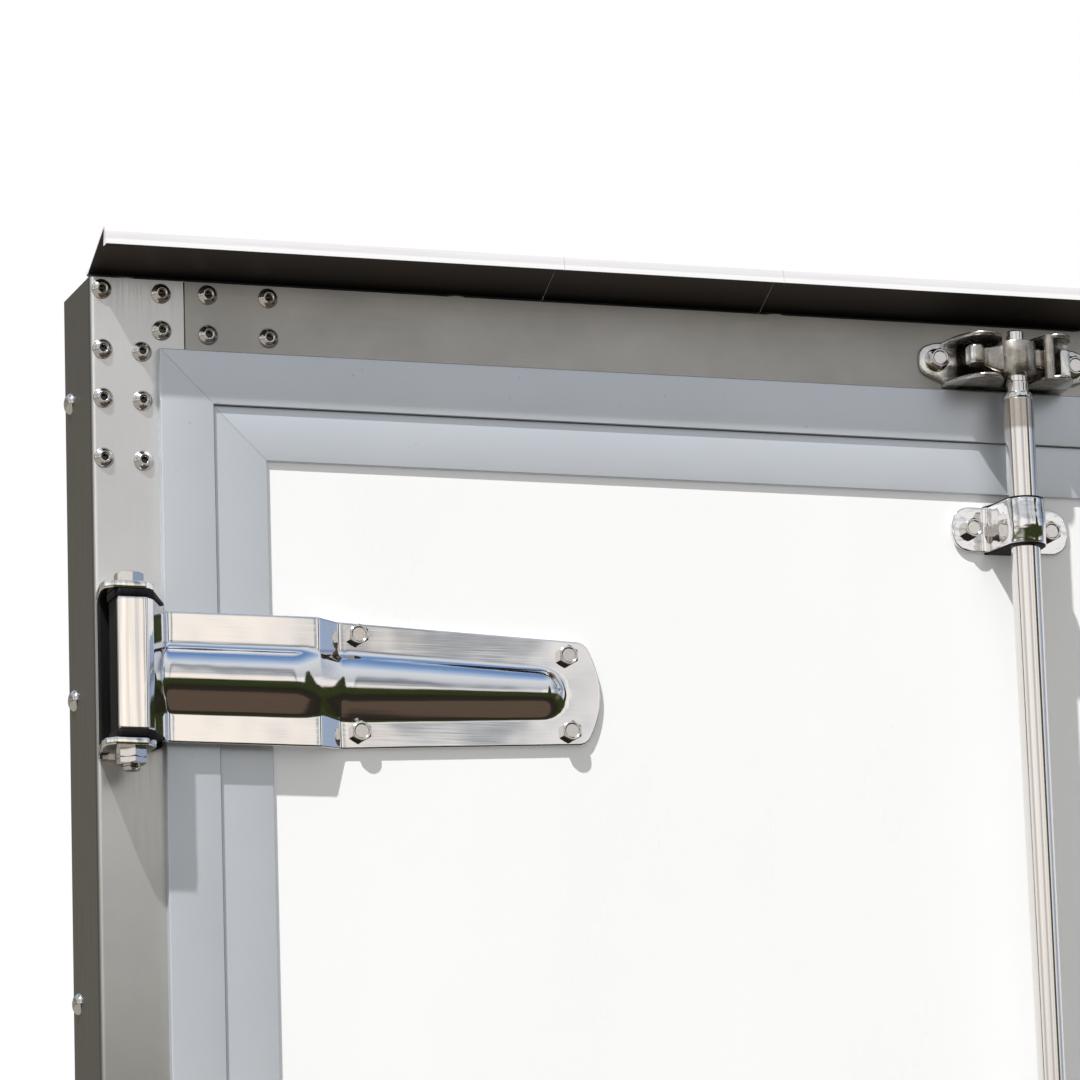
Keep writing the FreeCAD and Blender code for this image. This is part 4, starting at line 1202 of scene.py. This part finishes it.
def gutter():
    """The gutter in three lengths that butt with a hairline between them, a strip behind each
    joint. At both ends the base runs out in a slant, so the cut end shows the web alone."""
    lengths = []
    for low, high in zip(gutter_seams[:-1], gutter_seams[1:]):
        low += 0 if low == side else gutter_hairline / 2
        high -= 0 if high == -side else gutter_hairline / 2
        rings = []
        for x in (low, low + 0.6, low + gutter_slant, high - gutter_slant, high - 0.6, high):
            deep, tall = gutter_section(min((x - side) / gutter_slant, (-side - x) / gutter_slant, 1.0)).T
            rings.append(np.stack([x + 0 * deep, deep, tall], -1))
        lengths.append(lofted(np.stack(rings)))
    foot = np.array([gutter_foot - 0.6, top + gutter_lift + gutter_sheet])
    rise = np.array([-gutter_reach + 5.0, top + gutter_rise - 1.8]) - foot
    out = unit(np.array([-rise[1], rise[0]])) * -gutter_strip
    strip = np.stack([foot - out / 2, foot + rise - out / 2, foot + rise + out, foot + out])
    half = gutter_strip_half
    lengths += [slab(strip, x - half, x + half, 0.1, "yzx") for x in gutter_seams[1:-1]]
    washers = copies(turned(gutter_washer, 40), [(x, gutter_back / 2, top) for x in gutter_rivets_x])
    return joined(*lengths, washers)


def gutter_rivets():
    """Low dome heads on the gutter's base, over each washer."""
    head_z = top + gutter_lift + gutter_sheet - 0.1
    return copies(turned(gutter_dome, 24), [(x, gutter_back / 2, head_z) for x in gutter_rivets_x])


piece("rain_gutter_rolled", gutter(), gutter_steel, "frame", ["rain_gutter"], 22.0)
piece("gutter_rivets", gutter_rivets(), bolt_steel, "frame")


# Jamb, door edge frames, gaskets and the lip between the doors
band_width = 37.5
band_proud = 6.5
header_drop = 66.7
lining = 11.3
lining_corner, lining_edge = 0.6, 0.3
band_bends = 0.1, 0.9, 0.3, 0.1
leaf_band = 35.5
leaf_front = -4.0
leaf_overlap = 1.8
leaf_step = 6.0
leaf_web = 2.5
leaf_back = 68.5
leaf_flange = 40.0
leaf_bends = 0.1, 0.25, 0.8, 0.1, 0.2, 0.2, 0.3, 0.5, 0.8, 0.2
mitre_hairline = 0.22
gasket_hairline = 0.02
gasket_low, gasket_high = 22.0, 46.0
gasket_reach = 5.2
gasket_pitch = 8.0
lip_plan = [(-1.0, 5.0), (4.4, 7.0), (4.4, 8.6), (-1.0, 8.0), (-3.0, 12.0), (-6.5, 19.5)]
lip_foot = 6.0, 20.5
lip_bends = 0.3, 1.5, 0.7, 0.7, 1.2, 3.0, 1.0, 0.3
leaf_corners = [(leaf_low[0], leaf_low[2]), (leaf_low[0], leaf_high[2]), (leaf_high[0], leaf_high[2]),
                (leaf_high[0], leaf_low[2]), (leaf_low[0], leaf_low[2])]


def jamb():
    """Outer pale band in three mitred lengths, and the lining boards of the opening behind it."""
    band = rounded([(0, 0), (0, -band_proud), (band_width, -band_proud), (band_width, 0)], band_bends)
    corners = [(jamb_low[0], sill_top), (jamb_low[0], jamb_high[2]), (jamb_high[0], jamb_high[2]),
               (jamb_high[0], sill_top)]
    under = top - header_drop
    upright = oblong(post_inner, post_inner + lining, 0, flange_depth, lining_corner)
    upright = slab(upright, sill_top, under - lining, lining_edge)
    across = oblong(under - lining, under, 0, flange_depth, lining_corner)[:, ::-1]
    across = slab(across, post_inner, -post_inner, lining_edge, "yzx")
    return joined(mitred_lengths(band, corners, mitre_hairline), both_sides(upright), across)


def leaf_edge():
    """Edge profile round the left door, mitred at its corners: the inner pale band, the web
    behind it and the flange over the door's inner face."""
    web = leaf_step + leaf_web
    section = [(-leaf_overlap, panel_front), (-leaf_overlap, leaf_front), (leaf_band, leaf_front),
               (leaf_band, panel_front), (web, panel_front), (web, leaf_back), (leaf_flange, leaf_back),
               (leaf_flange, leaf_high[1]), (leaf_step, leaf_high[1]), (leaf_step, panel_front)]
    return mitred_lengths(rounded(section, leaf_bends), leaf_corners, mitre_hairline)


def gasket():
    """Lobed rubber gasket in the door's edge: three soft fins that bear on the lining, each as
    high as the square root of a half wave of a sine."""
    depth = np.linspace(gasket_low, gasket_high, 49)
    reach = gasket_reach * np.sqrt(np.abs(np.sin(np.pi * (depth - gasket_low) / gasket_pitch)))
    lobes = np.stack([leaf_step - 0.1 - reach, depth], -1)
    section = np.concatenate([[(leaf_step, gasket_low)], lobes[1:-1], [(leaf_step, gasket_high)]])
    return mitred_lengths(section, leaf_corners, gasket_hairline)


def centre_lip():
    """Rubber lip on the left door's free edge, which closes the gap between the doors."""
    web = leaf_high[0] - leaf_step - 0.5
    outline = rounded([(web, lip_foot[0]), *lip_plan, (web, lip_foot[1])], lip_bends)
    return slab(outline, leaf_low[2] + 2, leaf_high[2] - 2, 0.4)


piece("jamb_bands", jamb(), band_aluminium, "frame", ["jamb_profiles"], 25.0)
pair("leaf_edge", leaf_edge(), band_aluminium, "door", ["leaf_profiles"], 25.0)
pair("leaf_gasket", gasket(), seal_black, "door", ["leaf_seal"])
piece("centre_lip", centre_lip(), seal_black, "door_left")


# Rivets, placed from the side and the top
rivet_columns = [(8.5, (8.4, 50.6, 84.9, 126.8)), (36.2, (51.2, 85.6, 127.6)), (50.4, (9.5, 35.6)),
                 (83.4, (8.6, 37.0)), (126.5, (8.6, 37.0))]
side_rivet_y = 55.0
side_rivet_first, side_rivet_step, side_rivet_last = 76.5, 208.0, 60.0

# Profiles from foot to crown: pop rivet with flange, collar and hole, its snapped stem, dome rivet
rivet_profile = [(7.0, -0.2), (7.0, 0.5), (6.7, 1.0), (5.8, 1.8), (4.8, 2.5), (4.1, 2.9), (3.9, 3.3),
                 (3.5, 3.6), (2.8, 3.55), (2.4, 3.2), (2.25, 2.4), (2.2, 0.7)]
stem_profile = [(2.15, 0.65), (2.15, 1.3), (1.3, 1.7), (0.3, 1.5)]
side_profile = [(7.5, -0.1), (7.4, 0.8), (6.4, 2.4), (4.6, 3.8), (2.4, 4.5), (0.6, 4.6)]


def corner_places():
    """Where the rivets face the rear, at all four corners of the frame."""
    spots = np.array([(x, drop) for x, drops in rivet_columns for drop in drops])
    whole = []
    for way in (1, -1):
        for height in (top - spots[:, 1], spots[:, 1]):
            whole.append(np.stack([way * (side + spots[:, 0]), 0 * height, height], -1))
    return np.concatenate(whole)


def side_rivets():
    """Dome rivets down both side flanges."""
    dome = facing(turned(side_profile), "left")
    drops = np.arange(side_rivet_first, top - side_rivet_last, side_rivet_step)
    return both_sides(copies(dome, [(side, side_rivet_y, top - drop) for drop in drops]))


rivets = copies(facing(turned(rivet_profile, 36), "rear"), corner_places())
# The stems are dark as painted shade at the bottom of the rivets' holes
stems = copies(facing(turned(stem_profile, 16), "rear"), corner_places())
piece("corner_rivets", rivets, bolt_steel, "frame", (), 40.0)
piece("corner_rivet_stems", stems, painted_stem_shade_and_seam_steel, "frame")
piece("side_rivets", side_rivets(), bolt_steel, "frame")


# A dark strip in the joint between the corner plate and the header, from its top to behind the band
seam_half = 0.45
seam_drop = 48.0
seam = oblong(post_inner - seam_half, post_inner + seam_half, top - seam_drop, top - 0.5, 0.2)
seam = slab(seam, -0.2, 0.0, 0.05, "xzy")
piece("corner_seams", both_sides(seam), painted_stem_shade_and_seam_steel, "frame")


# Finishes of the CAD nodes, both those that show and those that a piece stands for
node_finishes = {
    "corner_post": post_steel, "sill_beam": post_steel, "header_beam": header_steel_shaded_copy, "post_core": filler_foam,
    "header_core": filler_foam, "sill_core": filler_foam, "leaf_panel": panel_white,
    "jamb_profiles": band_aluminium, "leaf_profiles": band_aluminium, "rain_gutter": gutter_steel,
    "hinge_straps": mirror_steel, "hinge_brackets": mirror_steel, "hinge_bolts": bolt_steel,
    "hinge_pads": bush_black, "hinge_bushes": bush_black, "guide_bushes": bush_black,
    "rod_guides": mirror_steel, "handle_catch": mirror_steel, "handle_lever": mirror_steel,
    "lock_rod": tube_steel, "rod_cams": cast_steel, "handle_hub": cast_steel,
    "keepers_top": cast_steel, "keepers_bottom": cast_steel, "leaf_seal": seal_black,
}
for name, made in frame["nodes"].items():
    made.data.materials.clear()
    made.data.materials.append(node_finishes[name.removesuffix("_left").removesuffix("_right")])


# Floor, mirrored yard, light and camera; a stop is an angle in degrees and its tone
floor_size = 60.0
dome_radius = 30.0
dome_height = 1.97
dome_glow = 1.25
dome_rows, dome_turns = 25, 48
ground_stops = [(-90.0, "#57493F"), (-36.0, "#54463C"), (-31.0, "#2C2723"), (-18.0, "#232219"),
                (12.0, "#34391F")]
sky_stops = [(0.0, "#E8E3DE"), (8.0, "#F4F0EC"), (14.0, "#F4F2F0"), (17.0, "#D3D5D9"), (20.0, "#C6C9CE"),
             (24.0, "#CACDD1"), (44.0, "#D0D3D8"), (50.0, "#AEBED4"), (60.0, "#7793BC"), (68.0, "#5B7CAB"),
             (74.0, "#DEE0E4"), (80.0, "#F2F2F2"), (90.0, "#DAD8D6")]
side_stops = [(-180.0, "#98948D"), (-108.0, "#98948D"), (-80.0, "#FFFFFF"), (-58.0, "#BCBAB6"),
              (-45.0, "#FFFFFF"), (-18.0, "#F4F4F4"), (-5.0, "#B4B4B8"), (6.0, "#F2F0EE"), (11.0, "#FFF9F2"),
              (15.2, "#FFF9F2"), (15.9, "#BDC5CF"), (17.4, "#C4CAD1"), (18.4, "#EFEEEE"), (25.0, "#EFF0F2"),
              (58.0, "#EFEDED"), (72.0, "#9FB3D2"), (90.0, "#8D97A8"), (180.0, "#8A8C8E")]
tree_stops = [(-180.0, "#3A3A3A"), (-101.0, "#3A3A3A"), (-95.0, "#B4B4B4"), (-90.0, "#B4B4B4"),
              (-84.0, "#525252"), (34.0, "#525252"), (40.0, "#CCCCCC"), (47.0, "#CCCCCC"), (54.0, "#525252"),
              (96.0, "#525252"), (101.0, "#CCCCCC"), (110.0, "#B4B4B4"), (180.0, "#646464")]
tree_reach = 45.0
tree_sway, tree_ruffle = 7.0, 9.0
hedge_middle, hedge_half, hedge_edge = 27.0, 58.0, 8.0
grey_cloud_left, grey_cloud_right, grey_cloud_foot = (15.0, 15.7), (17.2, 17.9), (10.2, 11.3)
sun_travel = 1.1, 1.0, -2.4
sun_strength = 4.8
sun_angle = 1.0
world_light = 0.46
camera_place = -2.08666, -3.77731, 1.19249
camera_right = 0.94687922, -0.32008997, -0.03101847
camera_up = -0.04068595, -0.21491472, 0.97578498
camera_back = -0.31900531, -0.92268850, -0.21652145
film_width = 36.0
focal_share = 5903.94085 / 1080


def plain_mesh(name, points, faces, material):
    """A stage mesh in metres, which isn't part of the object."""
    mesh = bpy.data.meshes.new(name)
    mesh.from_pydata(points, [], faces)
    mesh.materials.append(material)
    made = bpy.data.objects.new(name, mesh)
    bpy.context.scene.collection.objects.link(made)
    return made


def ramp(node, value, low, high, stops):
    """A colour read off a row of stops, each a place between low and high and its hex code."""
    colour = node("ValToRGB", (node("MapRange", (value, low, high)),))
    band = colour.node.color_ramp
    while len(band.elements) < len(stops):
        band.elements.new(1.0)
    for element, (place, code) in zip(band.elements, stops):
        element.position = (place - low) / (high - low)
        element.color = srgb(code)
    return colour


def floor():
    """Pale matt studio floor. It throws no light and no image back up, so that undersides stay
    dark and bright metal mirrors the yard."""
    material, node, _ = blank("studio_floor_matt")
    shader = node("BsdfPrincipled", {"Base Color": "#E6E6E4", "Roughness": 0.9})
    node("OutputMaterial", {"Surface": shader})
    half = floor_size / 2
    corners = [(-half, -half, 0), (half, -half, 0), (half, half, 0), (-half, half, 0)]
    made = plain_mesh("studio_floor", corners, [(0, 1, 2, 3)], material)
    made.visible_glossy = False
    made.visible_diffuse = False


def yard_angles(node, place):
    """Angle above level, the arc tangent of height and distance, and bearing from straight behind
    the truck, the arc tangent of the two distances, in degrees."""
    middle = (0.0, 0.0, dome_height)
    offset = node("VectorMath", (place, middle), operation="SUBTRACT")
    x, y, z = node("SeparateXYZ", (offset,)).node.outputs
    level = node("Math", (x, x, node("Math", (y, y), operation="MULTIPLY")), operation="MULTIPLY_ADD")
    level = node("Math", (level,), operation="SQRT")
    behind = node("Math", (y, -1.0), operation="MULTIPLY")
    angles = [node("Math", legs, operation="ARCTAN2") for legs in ((z, level), (x, behind))]
    return [node("Math", (angle, math.degrees(1.0)), operation="MULTIPLY") for angle in angles]


def yard_sky(node, place, rise, bearing):
    """Pale cloud under blue sky, stirred by wisps, toned by bearing low down, with haze and one
    grey cloud."""
    cloud = grain(node, place, 1500.0, 1.0)
    wisps = node("Math", (grain(node, place, 330.0, 3.0, (1.0, 1.0, 0.6)), 0.5), operation="SUBTRACT")
    stir = node("MapRange", (rise, 12.0, 22.0, 0.0, 12.0))
    stirred = node("Math", (wisps, stir, rise), operation="MULTIPLY_ADD")
    sky = ramp(node, stirred, 0.0, 90.0, sky_stops)
    low_down = node("MapRange", (rise, 20.0, 50.0, 1.0, 0.0))
    haze = node("MapRange", (cloud, 0.45, 0.7))
    for fading in ((16.0, 34.0, 1.0, 0.0), (12.0, 15.0, 0.0, 1.0)):
        haze = node("Math", (haze, node("MapRange", (rise, *fading))), operation="MULTIPLY")
    starts = node("MapRange", (bearing, *grey_cloud_left))
    ends = node("MapRange", (bearing, *grey_cloud_right, 1.0, 0.0))
    grey = node("Math", (starts, ends), operation="MULTIPLY")
    grey = node("Math", (grey, node("MapRange", (rise, *grey_cloud_foot))), operation="MULTIPLY")
    side_tone = ramp(node, bearing, -180.0, 180.0, side_stops)
    for share, tone in ((low_down, side_tone), (haze, "#DFE1E6"), (grey, "#BCBEC1")):
        sky = node("Mix", (share, sky, tone), data_type="RGBA", blend_type="MULTIPLY")
    return sky


def surroundings():
    """A yard as bright metal mirrors it, on the inside of a sphere that only reflections see:
    brown ground and a dark hedge straight behind, pale concrete to the sides, taller trees here
    and there, and sky. A tree top's angle goes by bearing and is ruffled by leaves."""
    material, node, place = blank("mirrored_yard")
    rise, bearing = yard_angles(node, place)
    leaves = grain(node, place, 420.0, 5.0)
    ruffle = node("Math", (leaves, 0.5), operation="SUBTRACT")
    swayed = node("Math", (ruffle, tree_sway, bearing), operation="MULTIPLY_ADD")
    tops = node("MapRange", (ramp(node, swayed, -180.0, 180.0, tree_stops), 0.0, 1.0, 0.0, tree_reach))
    tops = node("Math", (ruffle, tree_ruffle, tops), operation="MULTIPLY_ADD")
    above = node("Math", (rise, tops), operation="SUBTRACT")
    ground = ramp(node, rise, -90.0, 12.0, ground_stops)
    lush = toned(node, leaves, 0.4, 0.6, "#1C2012", "#3C4426")
    straight = toned(node, rise, -20.0, -8.0, ground, lush)
    concrete = toned(node, rise, -3.0, 1.0, "#A9A59E", "#565B48")
    off_hedge = node("Math", (bearing, hedge_middle), operation="SUBTRACT")
    off_hedge = node("Math", (off_hedge,), operation="ABSOLUTE")
    dark = toned(node, off_hedge, hedge_half - hedge_edge, hedge_half + hedge_edge, straight, concrete)
    colour = toned(node, above, -1.2, 1.2, dark, yard_sky(node, place, rise, bearing))
    node("OutputMaterial", {"Surface": node("Emission", {"Color": colour, "Strength": dome_glow})})
    pitch = np.linspace(-np.pi / 2, np.pi / 2, dome_rows)[:, None]
    turn = np.linspace(0, 2 * np.pi, dome_turns, endpoint=False)[None]
    level, height = np.cos(pitch), np.sin(pitch) + 0 * turn
    points = np.stack([level * np.cos(turn), level * np.sin(turn), height], -1)
    points = points.reshape(-1, 3) * dome_radius + (0, 0, dome_height)
    faces = between(np.arange(dome_rows * dome_turns).reshape(dome_rows, dome_turns), True)
    dome = plain_mesh("mirrored_yard", points.tolist(), faces.tolist(), material)
    for kind in ("camera", "diffuse", "shadow", "transmission"):
        setattr(dome, "visible_" + kind, False)


def turned_to(made, right, up, back, place):
    """Stand a lamp or camera at a place, its own three axes along the directions given."""
    made.matrix_world = Matrix([*zip(right, up, back, place), (0, 0, 0, 1)])
    bpy.context.scene.collection.objects.link(made)


def lights():
    """One sun from high on the left, and an even white world that is dimmer as light than it is
    to the eye and in reflections."""
    sun = bpy.data.lights.new("sun", "SUN")
    sun.energy = sun_strength
    sun.angle = math.radians(sun_angle)
    back = -unit(np.array(sun_travel))
    right = unit(np.cross((0, 0, 1), back))
    turned_to(bpy.data.objects.new("sun", sun), right, np.cross(back, right), back, (0, 0, 0))

    world = bpy.data.worlds.new("studio")
    bpy.context.scene.world = world
    world.use_nodes = True
    world.node_tree.nodes.clear()
    node = partial(add, world.node_tree)
    path = node("LightPath").node.outputs
    seen = node("Math", (path["Is Camera Ray"], path["Is Glossy Ray"]), operation="MAXIMUM")
    seen = node("Math", (seen, path["Is Transmission Ray"]), operation="MAXIMUM")
    light = node("Background", {"Color": "#FFFFFF", "Strength": world_light})
    white = node("Background", {"Color": "#FFFFFF", "Strength": 1.0})
    node("OutputWorld", {"Surface": node("MixShader", (seen, light, white))})


def camera():
    """Camera at the photograph's viewing angle."""
    data = bpy.data.cameras.new("camera")
    data.sensor_width = film_width
    data.lens = film_width * focal_share
    made = bpy.data.objects.new("camera", data)
    turned_to(made, camera_right, camera_up, camera_back, camera_place)
    bpy.context.scene.camera = made


floor()
surroundings()
lights()
camera()
bpy.context.scene.view_settings.view_transform = "Standard"
